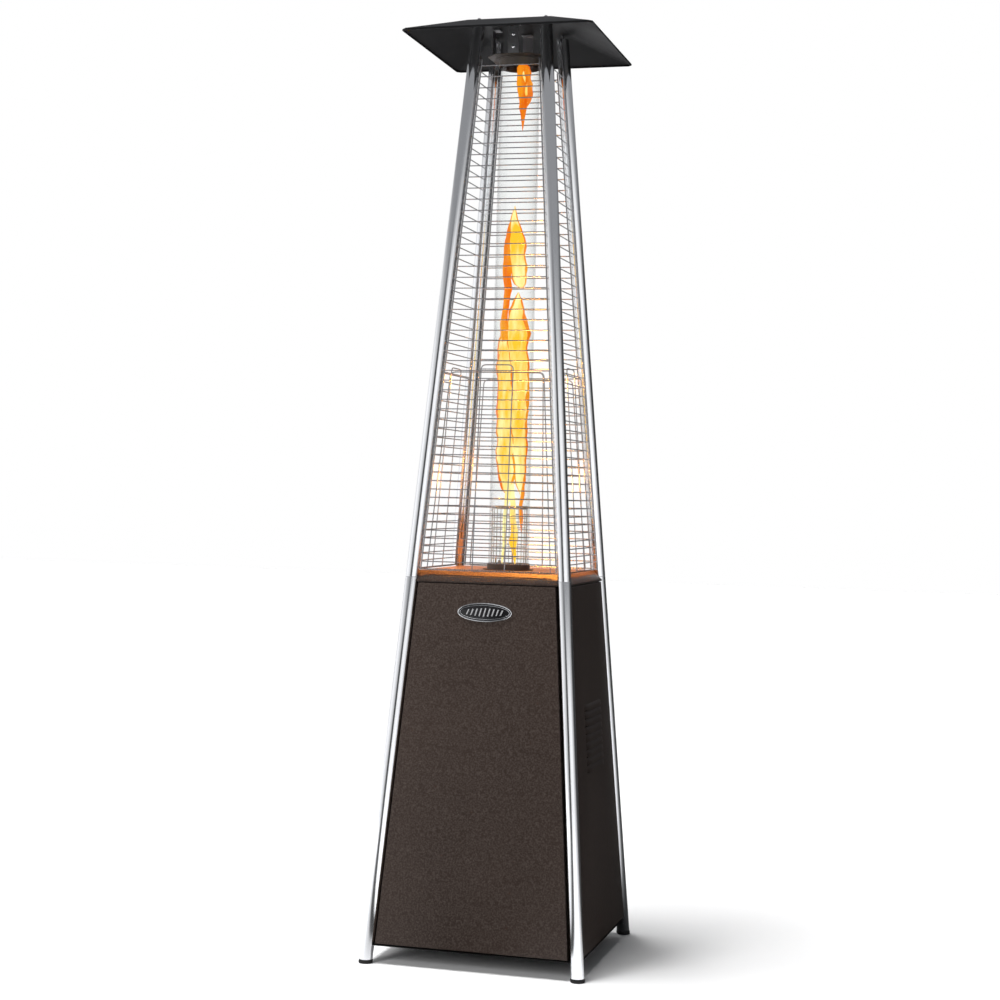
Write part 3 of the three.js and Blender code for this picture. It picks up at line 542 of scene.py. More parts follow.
def rounded(outline, radius, steps=3):
    """A closed outline of [x, y] pairs with its corners rounded."""
    result = []
    count = len(outline)
    for i in range(count):
        here = Vector(outline[i])
        before = Vector(outline[i - 1]) - here
        after = Vector(outline[(i + 1) % count]) - here
        reach = min(radius, before.length / 2.2, after.length / 2.2)
        start, end = here + before.normalized() * reach, here + after.normalized() * reach
        for k in range(steps + 1):
            t = k / steps
            point = start * (1 - t) ** 2 + here * 2 * t * (1 - t) + end * t ** 2
            result.append((point.x, point.y))
    return result


def ring(inner, outer, z0, z1, edge=0.3 * MM, segments=64):
    """A tube or washer with rounded edges."""
    return lathe(rounded([(inner, z0), (outer, z0), (outer, z1), (inner, z1)], edge), segments)


def tube_faces(rows, sides, closed=False, caps=True):
    """Faces through rows of points, sides to a row. closed joins the last row to the first."""
    faces = []
    for i in range(rows if closed else rows - 1):
        here, there = i * sides, (i + 1) % rows * sides
        faces += [(here + k, here + (k + 1) % sides, there + (k + 1) % sides, there + k) for k in range(sides)]
    if caps and not closed:
        faces += [tuple(range(sides))[::-1], tuple(range((rows - 1) * sides, rows * sides))]
    return faces


def rod(start, end, radius, sides=12):
    """A round bar between two points, closed at its ends."""
    start, end = Vector(start), Vector(end)
    along = (end - start).normalized()
    side = along.orthogonal().normalized()
    other = along.cross(side)
    vertices = []
    for centre in (start, end):
        for i in range(sides):
            angle = 2 * math.pi * i / sides
            vertices.append(centre + (side * math.cos(angle) + other * math.sin(angle)) * radius)
    return vertices, tube_faces(2, sides)


def bent_rod(points, radius, sides=10, closed=False):
    """A round bar along a line of points."""
    points = [Vector(p) for p in points]
    count = len(points)
    vertices, side = [], None
    for i, point in enumerate(points):
        before = points[i - 1] if (i > 0 or closed) else None
        after = points[(i + 1) % count] if (i + 1 < count or closed) else None
        along = Vector((0, 0, 0))
        if before is not None:
            along += (point - before).normalized()
        if after is not None:
            along += (after - point).normalized()
        along.normalize()
        side = along.orthogonal() if side is None else side - along * side.dot(along)
        side.normalize()
        other = along.cross(side)
        for k in range(sides):
            angle = 2 * math.pi * k / sides
            vertices.append(point + (side * math.cos(angle) + other * math.sin(angle)) * radius)
    return vertices, tube_faces(count, sides, closed)


def rounded_path(corners, radius, steps=6):
    """Points along a line with its inner corners rounded."""
    corners = [Vector(c) for c in corners]
    points = [corners[0]]
    for before, here, after in zip(corners, corners[1:], corners[2:]):
        reach = min(radius, (before - here).length / 2.2, (after - here).length / 2.2)
        start = here + (before - here).normalized() * reach
        end = here + (after - here).normalized() * reach
        for k in range(steps + 1):
            t = k / steps
            points.append(start * (1 - t) ** 2 + here * 2 * t * (1 - t) + end * t ** 2)
    points.append(corners[-1])
    return points


def block(x0, x1, y0, y1, z0, z1):
    """A box from its limits along each axis."""
    vertices = [(x, y, z) for z in (z0, z1) for y in (y0, y1) for x in (x0, x1)]
    faces = [(0, 2, 3, 1), (4, 5, 7, 6), (0, 1, 5, 4), (2, 6, 7, 3), (0, 4, 6, 2), (1, 3, 7, 5)]
    return vertices, faces


def prism(outline, y0, y1):
    """An outline of [x, z] pairs drawn along Y."""
    count = len(outline)
    return [(x, y, z) for y in (y0, y1) for x, z in outline], tube_faces(2, count)


def screw_head(radius, height):
    """A domed screw head about Z with a cross recess, its seat at z = 0."""
    outline = [(radius, 0), (radius, height * 0.25)]
    outline += [
        (radius * math.cos(a), height * (0.25 + 0.75 * math.sin(a)))
        for a in [math.radians(d) for d in (20, 40, 60, 78)]
    ]
    head = lathe(outline + [(0, height)], 24, closed=False)
    slot = radius * 0.14
    arm = radius * 0.55
    bars = [block(-arm, arm, -slot, slot, height * 0.7, height * 1.02),
            block(-slot, slot, -arm, arm, height * 0.7, height * 1.02)]
    return joined(head, *bars)


def lean_matrix(sign_x, sign_y):
    """Shears a shape drawn about the Z axis onto the line of a post."""
    return Matrix((
        (1, 0, -sign_x * LEAN, sign_x * FOOT_HALF),
        (0, 1, -sign_y * LEAN, sign_y * FOOT_HALF),
        (0, 0, 1, 0),
        (0, 0, 0, 1),
    ))


# Posts and feet ----------------------------------------------

def make_posts():
    """The leaning post tubes and the rubber feet under them."""
    for corner, (x, y) in CORNERS.items():
        lean = lean_matrix(x, y)
        for part in ("lower", "upper"):
            node = f"{part}_post_{corner}"
            low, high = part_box(node)
            tube = ring(POST_R - POST_WALL, POST_R, low.z, high.z, 0.5 * MM, 96)
            make(f"{part}_post_tube_{corner}", tube, "chrome", [node], matrix=lean, sharp=60)
        low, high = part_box(f"foot_cap_{corner}")
        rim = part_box(f"lower_post_{corner}")[0].z
        wide = POST_R + 1 * MM
        outline = [(0, 0), (wide - 2.4 * MM, 0), (wide - 0.8 * MM, 0.5 * MM), (wide, 2 * MM), (wide, rim - 2 * MM),
                   (wide - 0.5 * MM, rim - 0.8 * MM), (POST_R - 0.4 * MM, rim - 0.3 * MM),
                   (POST_R - POST_WALL - 0.3 * MM, rim - 0.3 * MM),
                   (POST_R - POST_WALL - 1.2 * MM, high.z), (0, high.z)]
        make(f"foot_{corner}", lathe(outline, 48, closed=False), "rubber", [f"foot_cap_{corner}"], matrix=lean)


# Cabinet -----------------------------------------------------

BEND = 3 * MM  # outside radius of the panels' folds
LOUVRES = 9
LOUVRE_HALF = 90 * MM
LOUVRE_PITCH = 18.4 * MM
LOUVRE_LOWEST = 457 * MM
LOUVRE_SLOT = 8 * MM


def slope_at(z):
    """Distance up the slope, on a panel's outer surface, of height z."""
    return (z - PANEL_PROUD * SIN) / COS


def pan_ends(node):
    """Lower and upper edge of a panel, up the slope, from its CAD box."""
    low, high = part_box(node)
    return (low.z + (PANEL_DEPTH - PANEL_PROUD) * SIN) / COS, slope_at(high.z)


def pan(s0, s1, slots=()):
    """A tapered sheet with folded edges and a column of slots, drawn in its face's frame."""
    half = LOUVRE_HALF if slots else 60 * MM

    def width(s):
        return slope_half(s) - PANEL_INSET

    rows = [s0 + BEND]
    for low, high in slots:
        rows += [low, high]
    rows.append(s1 - BEND)
    outer = -PANEL_PROUD
    vertices = []
    for s in rows:
        edge = width(s) - BEND
        vertices += [(x, outer, s) for x in (-edge, -half, half, edge)]
    faces = []
    for i in range(len(rows) - 1):
        for j in range(3):
            if slots and i % 2 == 1 and j == 1:
                continue
            a = 4 * i + j
            faces.append((a, a + 1, a + 5, a + 4))
    last = 4 * (len(rows) - 1)
    border = [(j, (-1 if j == 0 else 1 if j == 3 else 0), -1) for j in range(4)]
    border += [(4 * i + 3, 1, 0) for i in range(1, len(rows) - 1)]
    border += [(last + j, (-1 if j == 0 else 1 if j == 3 else 0), 1) for j in (3, 2, 1, 0)]
    border += [(4 * i, -1, 0) for i in range(len(rows) - 2, 0, -1)]
    loops = [[index for index, _, _ in border]]
    steps = 4
    profile = [(BEND * math.sin(a), BEND * (1 - math.cos(a)))
               for a in [math.pi / 2 * k / steps for k in range(1, steps + 1)]]
    profile.append((BEND, PANEL_DEPTH))
    for out, depth in profile:
        loop = []
        for index, side, end in border:
            x, _, s = vertices[index]
            loop.append(len(vertices))
            vertices.append((x + side * out, outer + depth, s + end * out))
        loops.append(loop)
    for a, b in zip(loops, loops[1:]):
        for i in range(len(a)):
            j = (i + 1) % len(a)
            faces.append((a[i], a[j], b[j], b[i]))
    return vertices, faces


def louvre_hoods(slots):
    """Pressed awnings over the slots, swelling out of the sheet and open underneath."""
    shapes = []
    across, down = 18, 6
    rise, reach = 8 * MM, 5.2 * MM
    for low, high in slots:
        vertices, faces = [], []
        for i in range(across + 1):
            u = i / across
            x = (2 * u - 1) * (LOUVRE_HALF + 1 * MM)
            full = min(1.0, 6 * min(u, 1 - u)) ** 0.5 if 0 < u < 1 else 0.0
            for j in range(down + 1):
                t = j / down
                s = (high + rise) * (1 - t) + (low + 2.5 * MM) * t
                out = reach * full * math.sin(t * math.pi / 2) ** 0.8
                vertices.append((x, -PANEL_PROUD - out, s))
        for i in range(across):
            for j in range(down):
                a = i * (down + 1) + j
                faces.append((a, a + 1, a + down + 2, a + down + 1))
        shapes.append((vertices, faces))
    return joined(*shapes)


def make_cabinet():
    """The panels and the door, with everything that is fixed to them."""
    louvre_slots = [
        (slope_at(LOUVRE_LOWEST + i * LOUVRE_PITCH), slope_at(LOUVRE_LOWEST + i * LOUVRE_PITCH) + LOUVRE_SLOT)
        for i in range(LOUVRES)
    ]
    for number, node in ((0, "front_panel"), (1, "right_panel"), (3, "left_panel")):
        slots = louvre_slots if number else ()
        make(f"{node}_sheet", pan(*pan_ends(node), slots), "bronze", [node], matrix=face_matrix(number),
             solidify=SHEET, sharp=30)
        if slots:
            make(f"{node}_louvres", louvre_hoods(slots), "bronze", matrix=face_matrix(number), solidify=1 * MM)
    back = face_matrix(2)
    make("rear_door_sheet", pan(*pan_ends("rear_door")), "bronze", ["rear_door"], "rear_door", back, solidify=SHEET)
    make("control_panel_sheet", pan(*pan_ends("control_panel")), "bronze", ["control_panel"], matrix=back,
         solidify=SHEET)
    make_badge()
    make_controls(back)


def make_badge():
    """Oval badge: a raised chrome rim round a black field, with a row of slanting silver bars."""
    low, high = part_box("emblem")
    half_width, half_height = (high.x - low.x) / 2, (high.z - low.z) / 2 / COS
    rim_r = 1.4 * MM
    middle = (low.z + high.z) / 2
    place = face_matrix(0) @ Matrix.Translation((0, -PANEL_PROUD - 0.3 * MM, slope_at(middle)))

    def oval(inset, count=72):
        return [((half_width - inset) * math.cos(2 * math.pi * i / count),
                 (half_height - inset) * math.sin(2 * math.pi * i / count)) for i in range(count)]

    rim = bent_rod([(x, -rim_r, z) for x, z in oval(rim_r)], rim_r, 12, closed=True)
    inner = bent_rod([(x, -1.5 * MM, z) for x, z in oval(6.2 * MM)], 0.55 * MM, 8, closed=True)
    bars = []
    most = 4  # bars on each side of the middle one
    lean, thick = 2.6 * MM, 1.6 * MM
    for i in range(-most, most + 1):
        centre = i * 10.4 * MM
        tall = (10.5 - 4.2 * abs(i) / most) * MM
        bars.append(prism([(centre - thick - lean, -tall), (centre + thick - lean, -tall),
                           (centre + thick + lean, tall), (centre - thick + lean, tall)], -2.6 * MM, -0.8 * MM))
    make("badge_rim", joined(rim, inner), "chrome", ["emblem"], matrix=place)
    make("badge_field", prism(oval(rim_r), -1.4 * MM, 0), "enamel", matrix=place, bevel=0.2 * MM)
    make("badge_bars", joined(*bars), "silver", matrix=place, bevel=0.35 * MM)


def out_of_face(matrix, x, s):
    """Frame on a face with its Z pointing out: X across and Z = 0 on the plane of the posts."""
    return matrix @ Matrix.Translation((x, 0, s)) @ Matrix.Rotation(math.pi / 2, 4, "X")


def on_axis(joint_name, number):
    """Where a joint's axis crosses a face: distance across and up the slope."""
    local = face_matrix(number).inverted() @ Vector(JOINTS[joint_name]["pos_m"])
    return local.x, local.z


def make_controls(back):
    """Knob, igniter button and latch, each on its joint's axis, and the control panel's screws."""
    knob_x, knob_s = on_axis("control_knob_turn", 2)
    button_x, button_s = on_axis("igniter_button_push", 2)
    latch_x, latch_s = on_axis("door_latch_turn", 2)

    knob_place = out_of_face(back, knob_x, knob_s)
    button_place = out_of_face(back, button_x, button_s)
    latch_place = out_of_face(back, latch_x, latch_s)

    base = PANEL_PROUD + 6 * MM
    knob_r = 21 * MM
    segments = 96
    flutes = 16
    skirt = [(0, base), (knob_r - 0.6 * MM, base), (knob_r, base + 0.6 * MM), (knob_r, base + 3.4 * MM),
             (knob_r - 1.2 * MM, base + 4.6 * MM)]
    grip = [(knob_r - 4 * MM, base + 6 * MM), (knob_r - 4.6 * MM, base + 19 * MM),
            (knob_r - 6.4 * MM, base + 21.2 * MM), (knob_r - 9 * MM, base + 21.8 * MM), (0, base + 21.8 * MM)]
    vertices, faces = lathe(skirt + grip, segments, closed=False)
    count = len(skirt + grip)
    for i in range(segments):
        wave = 1 - 0.055 * max(0.0, math.cos(flutes * 2 * math.pi * i / segments)) ** 2
        for j in range(len(skirt), len(skirt) + 3):
            x, y, z = vertices[i * count + j]
            vertices[i * count + j] = (x * wave, y * wave, z)
    make("knob", (vertices, faces), "plastic", ["control_knob"], "control_knob", knob_place, sharp=40)
    pointer = block(-0.9 * MM, 0.9 * MM, 2 * MM, 13.5 * MM, base + 21.5 * MM, base + 22.5 * MM)
    make("knob_pointer", pointer, "mark", body="control_knob", matrix=knob_place, bevel=0.2 * MM)
    tick = block(-0.7 * MM, 0.7 * MM, 25 * MM, 30 * MM, PANEL_PROUD, PANEL_PROUD + 0.35 * MM)
    ticks = [moved(tick, Matrix.Rotation(math.radians(a), 4, "Z")) for a in range(0, 181, 30)]
    make("knob_dial_ticks", joined(*ticks), "mark", matrix=knob_place)

    button_r = 9 * MM
    top = PANEL_PROUD + 12.5 * MM
    outline = [(0, 0), (button_r, 0), (button_r, top - 1.6 * MM), (button_r - 0.5 * MM, top - 0.5 * MM),
               (button_r - 1.7 * MM, top), (button_r - 3.5 * MM, top - 0.5 * MM), (0, top - 0.9 * MM)]
    make("button_cap", lathe(outline, 48, closed=False), "plastic", ["igniter_button"], "igniter_button", button_place)
    bezel = ring(button_r + 0.8 * MM, button_r + 4 * MM, PANEL_PROUD + 0.1 * MM, PANEL_PROUD + 4 * MM, 1.2 * MM)
    make("button_bezel", bezel, "steel", ["igniter_bezel"], matrix=button_place)

    outer = PANEL_PROUD + 0.5 * MM
    disc = lathe([(0, outer), (15 * MM, outer), (15 * MM, outer + 2.2 * MM), (14 * MM, outer + 3.4 * MM),
                  (11 * MM, outer + 4.6 * MM), (0, outer + 4.8 * MM)], 64, closed=False)
    wing = block(-13.5 * MM, 13.5 * MM, -4 * MM, 4 * MM, outer + 4 * MM, outer + 16 * MM)
    make("latch_disc", disc, "plastic", ["latch_knob"], "door_latch", latch_place)
    make("latch_wing", wing, "plastic", body="door_latch", matrix=latch_place, bevel=1.6 * MM)

    screw = screw_head(3.4 * MM, 1.9 * MM)
    s_low, s_high = pan_ends("control_panel")
    spots = [(x, s) for s in (s_low + 14 * MM, s_high - 14 * MM) for x in (-140 * MM, 140 * MM)]
    heads = [moved(screw, out_of_face(back, x, s) @ Matrix.Translation((0, 0, PANEL_PROUD))) for x, s in spots]
    make("control_panel_screws", joined(*heads), "steel")


# Deck and hood -----------------------------------------------

def square_ring(half, corner, z, count):
    """count points round a square with cut corners, evenly by angle, starting at +X."""
    points = []
    for i in range(count):
        angle = 2 * math.pi * i / count
        c, s = math.cos(angle), math.sin(angle)
        side = half / max(abs(c), abs(s))
        cut = (2 * half - corner) / (abs(c) + abs(s))
        reach = min(side, cut)
        points.append((reach * c, reach * s, z))
    return points


def round_ring(radius, z, count):
    """count points round a circle, starting at +X."""
    return [(radius * math.cos(2 * math.pi * i / count), radius * math.sin(2 * math.pi * i / count), z)
            for i in range(count)]


def skin(rings, closed=False, cap=False):
    """Faces through a list of point rings."""
    count = len(rings[0])
    vertices = [p for points in rings for p in points]
    faces = tube_faces(len(rings), count, closed, caps=False)
    if cap:
        faces.append(tuple(range((len(rings) - 1) * count, len(rings) * count)))
    return vertices, faces


def make_deck():
    """The sloping lid over the cabinet, with a hole for the burner and one for each post."""
    low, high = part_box("deck")
    lip_half = high.x
    top_half = max(v.co.x for v in NODES["deck"].data.vertices if abs(v.co.z - high.z) < 1e-6)
    hole = 46 * MM
    count = 256
    lip_top = low.z + 4 * MM

    def slope(t):
        return lip_half + (top_half - lip_half) * t, lip_top + (high.z - lip_top) * t

    outline = [(lip_half - 0.8 * MM, low.z), (lip_half, low.z + 1 * MM), (lip_half, lip_top - 0.8 * MM)]
    outline += [slope(0.03), slope(0.5), slope(0.95)]
    outline += [(top_half - 1.5 * MM, high.z - 0.25 * MM), (top_half - 3.5 * MM, high.z)]
    rings = [square_ring(half, 1 * MM, z, count) for half, z in outline]
    rings += [round_ring(r, high.z, count) for r in (90 * MM, 66 * MM, hole)]
    rings += [round_ring(hole, high.z - SHEET, count)]
    deck = make("deck_sheet", skin(rings), "deck", ["deck"], sharp=25, solidify=SHEET)
    tools = []
    for x, y in CORNERS.values():
        hole_tool = lathe([(0, low.z - 0.02), (POST_R + 0.7 * MM, low.z - 0.02),
                           (POST_R + 0.7 * MM, high.z + 0.02), (0, high.z + 0.02)], 48, closed=False)
        tools.append(bare_object("tool", hole_tool, lean_matrix(x, y)))
    cut_from(deck, *tools)
    deck.data.set_sharp_from_angle(angle=math.radians(25))


def make_hood():
    """The black sheet hood, and the nuts that hold it on the posts."""
    low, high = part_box("hood")
    rim_half, rim, top = high.x, low.z, high.z
    flat = max(v.co.x for v in NODES["hood"].data.vertices if abs(v.co.z - high.z) < 1e-6)
    rim_height = 5 * MM
    count = 320
    corner = 9 * MM

    def slope(t):
        return rim_half + (flat - rim_half) * t, rim + rim_height + (top - rim - rim_height) * t

    outer = [(rim_half - 0.4 * MM, rim), (rim_half, rim + 0.5 * MM), (rim_half, rim + rim_height - 1.2 * MM)]
    outer += [slope(0.012), slope(0.35), slope(0.7), slope(0.975), (flat - 2.5 * MM, top - 0.15 * MM),
              (flat - 5 * MM, top), (flat * 0.5, top), (flat * 0.05, top)]
    inner = [(half - SHEET, z - (SHEET if z > rim + rim_height else 0)) for half, z in outer[3:-3]]
    inner = [(rim_half - SHEET, rim), (rim_half - SHEET, rim + rim_height - 1.5 * MM)] + inner[1:]
    inner += [(flat * 0.5, top - SHEET), (flat * 0.05, top - SHEET)]
    outer_shape = skin([square_ring(h, corner * min(1, h / flat), z, count) for h, z in outer], cap=True)
    inner_shape = skin([square_ring(h, corner * min(1, h / flat), z, count) for h, z in inner], cap=True)
    lip = skin([square_ring(outer[0][0], corner, rim, count), square_ring(inner[0][0], corner, rim, count)])
    make("hood_sheet", joined(outer_shape, inner_shape, lip), "black", ["hood"], sharp=18)

    nut = lathe([(0, 0), (7 * MM, 0), (7 * MM, 3 * MM), (5.2 * MM, 3.6 * MM), (4.9 * MM, 5.2 * MM),
                 (3.4 * MM, 7 * MM), (0, 7.6 * MM)], 6, closed=False)
    washer = ring(3 * MM, 9.5 * MM, 0, 1.3 * MM, 0.3 * MM, 32)
    reach = post_half(top)
    shapes = []
    for x, y in CORNERS.values():
        spot = Matrix.Translation((x * reach, y * reach, top))
        shapes += [moved(washer, spot), moved(nut, spot @ Matrix.Translation((0, 0, 1.2 * MM)))]
        shapes.append(rod((x * reach, y * reach, top - 11.5 * MM), (x * reach, y * reach, top + 1 * MM), 4 * MM))
    make("hood_nuts", joined(*shapes), "steel")


# Glass, screen and head --------------------------------------

def make_glass():
    """The glass tube between its two rings, and what is at its ends."""
    low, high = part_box("glass_tube")
    wall = 2.5 * MM
    make("glass", ring(GLASS_R - wall, GLASS_R, low.z, high.z, 0.9 * MM, 128), "glass", ["glass_tube"], sharp=60)
    for node in ("glass_seat_ring", "glass_retainer_ring"):
        low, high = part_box(node)
        inner, flange = GLASS_R + 0.8 * MM, high.x
        wall_r = inner + 2 * MM
        if node == "glass_seat_ring":
            outline = [(inner, low.z), (flange, low.z), (flange, low.z + 1.7 * MM), (wall_r, low.z + 1.7 * MM),
                       (wall_r, high.z), (inner, high.z)]
        else:
            outline = [(inner, low.z), (wall_r, low.z), (wall_r, high.z - 2 * MM), (flange, high.z - 2 * MM),
                       (flange, high.z), (inner, high.z)]
        # Both rings take the same dark steel as the head plate: partly soot, partly painted shade.
        make(f"{node}_turned", lathe(rounded(outline, 0.6 * MM), 96), "soot_and_shade", [node])
    make_screen()
    make_head()


def make_screen():
    """The burner screen: an open cage of fine bars between two steel bands."""
    low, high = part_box("burner_screen")
    radius = high.x - 0.8 * MM
    wire = 0.6 * MM
    uprights, levels = 24, 5
    shapes = [ring(radius - 0.8 * MM, radius + 0.8 * MM, high.z - 8 * MM, high.z, 0.4 * MM, 80),
              ring(radius - 0.8 * MM, radius + 0.8 * MM, low.z, low.z + 12 * MM, 0.4 * MM, 80)]
    for i in range(uprights):
        angle = 2 * math.pi * i / uprights
        x, y = radius * math.cos(angle), radius * math.sin(angle)
        shapes.append(rod((x, y, low.z + 10 * MM), (x, y, high.z - 7 * MM), wire, 6))
    for i in range(levels):
        z = low.z + 30 * MM + (high.z - low.z - 60 * MM) * i / (levels - 1)
        shapes.append(bent_rod(round_ring(radius, z, 40), wire, 6, closed=True))
    make("screen_mesh", joined(*shapes), "heated", ["burner_screen"])
    clips = [block(side * 35 * MM - 8 * MM, side * 35 * MM + 8 * MM, -3 * MM, 3 * MM, high.z - 7 * MM, high.z - 1 * MM)
             for side in (-1, 1)]
    make("screen_clips", joined(*clips), "silver", bevel=0.6 * MM)


def make_head():
    """The plate over the glass with its four folded tabs, and the screws that hold them."""
    low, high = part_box("top_plate")
    plate_half = high.x
    tab_half = 13 * MM
    count = 128
    rings = [square_ring(plate_half - 0.3 * MM, 30 * MM, low.z, count),
             square_ring(plate_half, 30 * MM, low.z + 0.4 * MM, count),
             square_ring(plate_half, 30 * MM, low.z + 1.6 * MM, count),
             square_ring(plate_half - 0.3 * MM, 30 * MM, low.z + 2 * MM, count),
             round_ring(GLASS_R - 6 * MM, low.z + 2 * MM, count), round_ring(GLASS_R - 6 * MM, low.z, count)]
    # The plate is dark steel: partly soot, partly painted shade for the dark under the hood.
    make("head_plate", skin(rings, closed=True), "soot_and_shade", ["top_plate"], sharp=30)
    tabs, screws = [], []
    for i in range(4):
        turn = Matrix.Rotation(i * math.pi / 2, 4, "Z")
        path = rounded_path([(0, -plate_half + 2 * MM, low.z + 2.2 * MM), (0, -plate_half + 2 * MM, high.z - 1 * MM),
                             (0, -plate_half + 21 * MM, high.z - 1 * MM)], 4 * MM)
        vertices, faces = [], []
        for point in path:
            vertices += [(-tab_half, point.y, point.z), (tab_half, point.y, point.z)]
        for k in range(len(path) - 1):
            faces.append((2 * k, 2 * k + 1, 2 * k + 3, 2 * k + 2))
        tabs.append(moved((vertices, faces), turn))
        for height in (18 * MM, 48 * MM):
            seat = turn @ Matrix.Translation((0, -plate_half + 1 * MM, low.z + height)) @ Matrix.Rotation(
                math.pi / 2, 4, "X")
            screws.append(moved(screw_head(4.2 * MM, 2.6 * MM), seat))
    make("head_tabs", joined(*tabs), "steel", solidify=2 * MM)
    make("head_screws", joined(*screws), "chrome")


# Wire guards -------------------------------------------------

WIRE_R = 1.35 * MM
WIRE_PITCH_TOP = 27.4 * MM
WIRE_PITCH_BOTTOM = 18.2 * MM


def wire_heights(bottom, top):
    """Heights of the guard's wires: they stand closer together low down."""
    rate = (WIRE_PITCH_TOP - WIRE_PITCH_BOTTOM) / (762 * MM)
    heights, z = [], bottom
    while z < top:
        heights.append(z)
        z += min(WIRE_PITCH_TOP, WIRE_PITCH_BOTTOM + rate * (z - bottom))
    return heights


def make_guards():
    """The four guards: two side rods each, with wires across."""
    bottom, top = DECK_TOP + 3 * MM, 2172 * MM
    rod_inset = POST_R + 3.2 * MM
    for number, face in enumerate(FACES):
        low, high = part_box(f"guard_{face}")
        place = face_matrix(number)
        s_low, s_high = low.z / COS, high.z / COS
        shapes = []
        for sign in (-1, 1):
            shapes.append(rod((sign * (slope_half(s_low) - rod_inset), 0, s_low),
                              (sign * (slope_half(s_high) - rod_inset), 0, s_high), 1.8 * MM, 12))
        for z in wire_heights(bottom, top):
            reach = slope_half(z / COS) - rod_inset
            shapes.append(rod((-reach, 0, z / COS), (reach, 0, z / COS), WIRE_R, 10))
        make(f"guard_wires_{face}", joined(*shapes), "wire", [f"guard_{face}"], matrix=place)
        make_hoops(face, place)


def make_hoops(face, place):
    """Two round-cornered hoops on a foot bar, welded to the inside of the wires."""
    low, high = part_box(f"guard_hoops_{face}")
    y = 2.9 * MM
    foot = low.z / COS + 1.5 * MM
    top_inner = high.z / COS - 1.3 * MM
    top_outer = top_inner - 18 * MM
    inner = 40 * MM

    def outer(s):
        return slope_half(s) - (POST_R + 18 * MM)

    paths = [
        [(-inner, y, foot), (-inner, y, top_inner), (inner, y, top_inner), (inner, y, foot)],
        [(-outer(foot), y, foot), (-outer(top_outer), y, top_outer), (outer(top_outer), y, top_outer),
         (outer(foot), y, foot)],
    ]
    shapes = [bent_rod(rounded_path(path, 13 * MM), WIRE_R, 10) for path in paths]
    shapes.append(rod((-outer(foot), y, foot), (outer(foot), y, foot), WIRE_R, 10))
    make(f"hoops_{face}", joined(*shapes), "wire", [f"guard_hoops_{face}"], matrix=place)


# Flame -------------------------------------------------------

def tongue(spine, seed, flat=0.75, rings=60, sides=28, ragged=0.3):
    """A closed tongue of flame along a spine of (z, half width, x) rows, in metres, with a ragged outline."""
    def at(z):
        for (z0, *low), (z1, *high) in zip(spine, spine[1:]):
            if z <= z1:
                t = (z - z0) / (z1 - z0)
                t = (t * t * (3 - 2 * t) + t) / 2
                return [a * (1 - t) + b * t for a, b in zip(low, high)]
        return spine[-1][1:]

    vertices = []
    start, end = spine[0][0], spine[-1][0]
    for i in range(rings + 1):
        z = start + (end - start) * i / rings
        width, x = at(z)
        x += 0.15 * width * noise.noise(Vector((z * 20, seed, 0)))
        y = 0.3 * width * noise.noise(Vector((z * 12, 0, seed)))
        for k in range(sides):
            angle = 2 * math.pi * k / sides
            c, s = math.cos(angle), math.sin(angle)
            flicker = 1 + ragged * noise.noise(Vector((c * 1.3 + seed, s * 1.3, z * 22)))
            flicker += 0.4 * ragged * noise.noise(Vector((c * 3.1, s * 3.1 + seed, z * 70)))
            vertices.append((x + width * flicker * c, y + width * flicker * flat * s, z))
    return vertices, tube_faces(rings + 1, sides)


def in_metres(*rows):
    """Spine rows given as height in metres, and half width and x in millimetres."""
    return [(z, width * MM, x * MM) for z, width, x in rows]


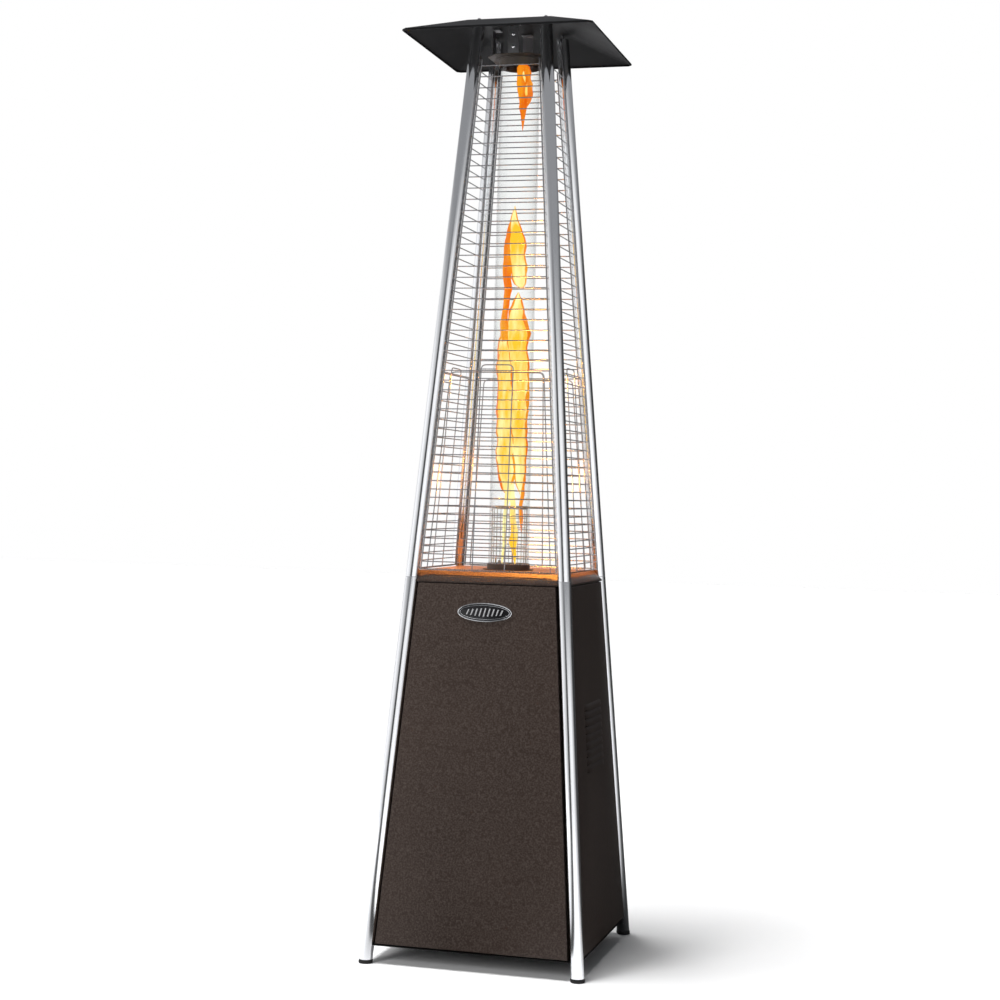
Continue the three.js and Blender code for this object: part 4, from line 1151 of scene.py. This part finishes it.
def make_flame():
    """Flame inside the glass: strands off the burner join in a tall column of two lobes, then a break,
    an upper tongue and a loose head that hangs under the top plate. Thin sheets make the darker fringe."""
    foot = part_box("burner_head")[1].z + 4 * MM
    strands = [
        in_metres((foot, 1, -17), (0.975, 3, -16), (1.005, 5, -11), (1.034, 5, -12), (1.064, 5.5, -12),
                  (1.094, 5, -9), (1.123, 9, -5), (1.15, 6, -6), (1.17, 1, -8)),
        in_metres((foot, 1, 17), (0.975, 4, 15), (1.005, 8, 8), (1.034, 8, 13), (1.064, 7, 8), (1.094, 6, 8),
                  (1.123, 7, 4), (1.15, 3, 6)),
        in_metres((0.99, 1, 18), (1.02, 3, 20), (1.034, 4, 18), (1.05, 1, 17)),
    ]
    outer_strand = in_metres((1.03, 1, 31), (1.064, 5, 30), (1.094, 4, 28), (1.123, 5, 32), (1.16, 7, 27), (1.2, 4, 25))
    left_lobe = in_metres((1.115, 2, -6), (1.14, 12, -8), (1.183, 18, -12), (1.242, 21, -15), (1.301, 19, -18),
                          (1.361, 17, -16), (1.42, 17, -18), (1.479, 15, -22), (1.505, 8, -26), (1.53, 1, -27))
    right_lobe = in_metres((1.12, 1, 27), (1.153, 9, 25), (1.183, 12, 24), (1.242, 17, 22), (1.301, 19, 17),
                           (1.361, 20, 16), (1.42, 20, 15), (1.479, 22, 13), (1.509, 25, 9), (1.539, 22, 8),
                           (1.569, 18, 7), (1.598, 9, 8), (1.622, 1, 9))
    left_edge = in_metres((1.46, 4, -27), (1.5, 9, -27), (1.54, 10, -26), (1.57, 7, -24), (1.6, 8, -20), (1.63, 10, -16),
                          (1.658, 10, -21), (1.687, 12, -21), (1.717, 11, -21), (1.747, 10, -20), (1.776, 6, -17),
                          (1.806, 3, -12), (1.825, 0.6, -9))
    upper = in_metres((1.632, 2, 17), (1.643, 12, 12), (1.658, 16, 9), (1.687, 16.5, 10), (1.717, 18, 4),
                      (1.747, 18, 2), (1.776, 14, -1), (1.806, 7, -5), (1.836, 0.6, -5))
    head = in_metres((2.02, 0.6, 10), (2.038, 3, 10), (2.058, 6, 10), (2.078, 10, 9), (2.098, 14, 13), (2.118, 17, 13),
                     (2.137, 19, 12), (2.157, 18, 11), (2.177, 16, 9), (2.186, 8, 6))
    head_core = in_metres((2.09, 1, 20), (2.118, 5, 17), (2.14, 6, 15), (2.16, 8, 12), (2.18, 3, 12))

    def fringe(spine, spread):
        return [(z, width + spread * MM * min(1, width / (8 * MM)), x) for z, width, x in spine]

    cores = [tongue(s, 2.0 + 3 * i, rings=40, sides=18) for i, s in enumerate(strands)]
    cores += [tongue(left_lobe, 5.3), tongue(right_lobe, 11.7), tongue(upper, 9.4, rings=40)]
    make("flame_core", joined(*cores), "flame_core", sharp=180)
    sheets = [tongue(fringe(left_lobe, 3.5), 5.3, 0.3), tongue(fringe(right_lobe, 3.5), 11.7, 0.3),
              tongue(fringe(upper, 2.5), 9.4, 0.3, rings=40), tongue(left_edge, 8.1, 0.5),
              tongue(outer_strand, 6.6, 0.5, rings=30, sides=16)]
    make("flame_fringe", joined(*sheets), "flame_skin", sharp=180)
    make("flame_head", tongue(head, 12.7, 0.5, rings=40, ragged=0.45), "flame_head", sharp=180)
    make("flame_head_core", tongue(head_core, 14.2, 1.6, rings=24, sides=16), "flame_core", sharp=180)
    wires = [obj.name for obj in bpy.data.objects if obj.name.startswith(("guard_wires_", "hoops_"))]
    flame_light("POINT", 1.15, 14, wires)
    flame_light("POINT", 1.4, 14, wires)
    flame_light("SPOT", 1.7, 1900, ["deck_sheet"])


# Carried-over CAD nodes --------------------------------------

CARRIED = {
    "base_plate": "black", "cylinder_ring": "steel", "tilt_switch": "plastic", "burner_tray": "black",
    "heat_shield": "steel", "burner_head": "heated", "venturi_tube": "steel", "gas_orifice": "brass",
    "pilot_tube": "heated", "igniter_electrode": "ceramic", "thermocouple": "brass", "glass_gasket": "gasket",
    "gas_valve": "brass", "valve_inlet": "brass", "valve_stem": "steel", "igniter_module": "plastic",
    "latch_cam": "steel", "hinge_pin_bottom": "steel", "hinge_pin_top": "steel",
    "post_connector_front_left": "steel", "post_connector_front_right": "steel",
    "post_connector_back_right": "steel", "post_connector_back_left": "steel",
}


def dress_carried():
    """Gives each CAD node that stays its look and a small bevel on its hard edges."""
    for node, look in CARRIED.items():
        obj = NODES[node]
        obj.data.materials.clear()
        obj.data.materials.append(LOOKS[look][0])
        bevel_edges(obj, 0.3 * MM)


make_camera()
make_world()
make_stage()
LOOKS = make_looks()
make_posts()
make_cabinet()
make_deck()
make_hood()
make_glass()
make_guards()
make_flame()
dress_carried()
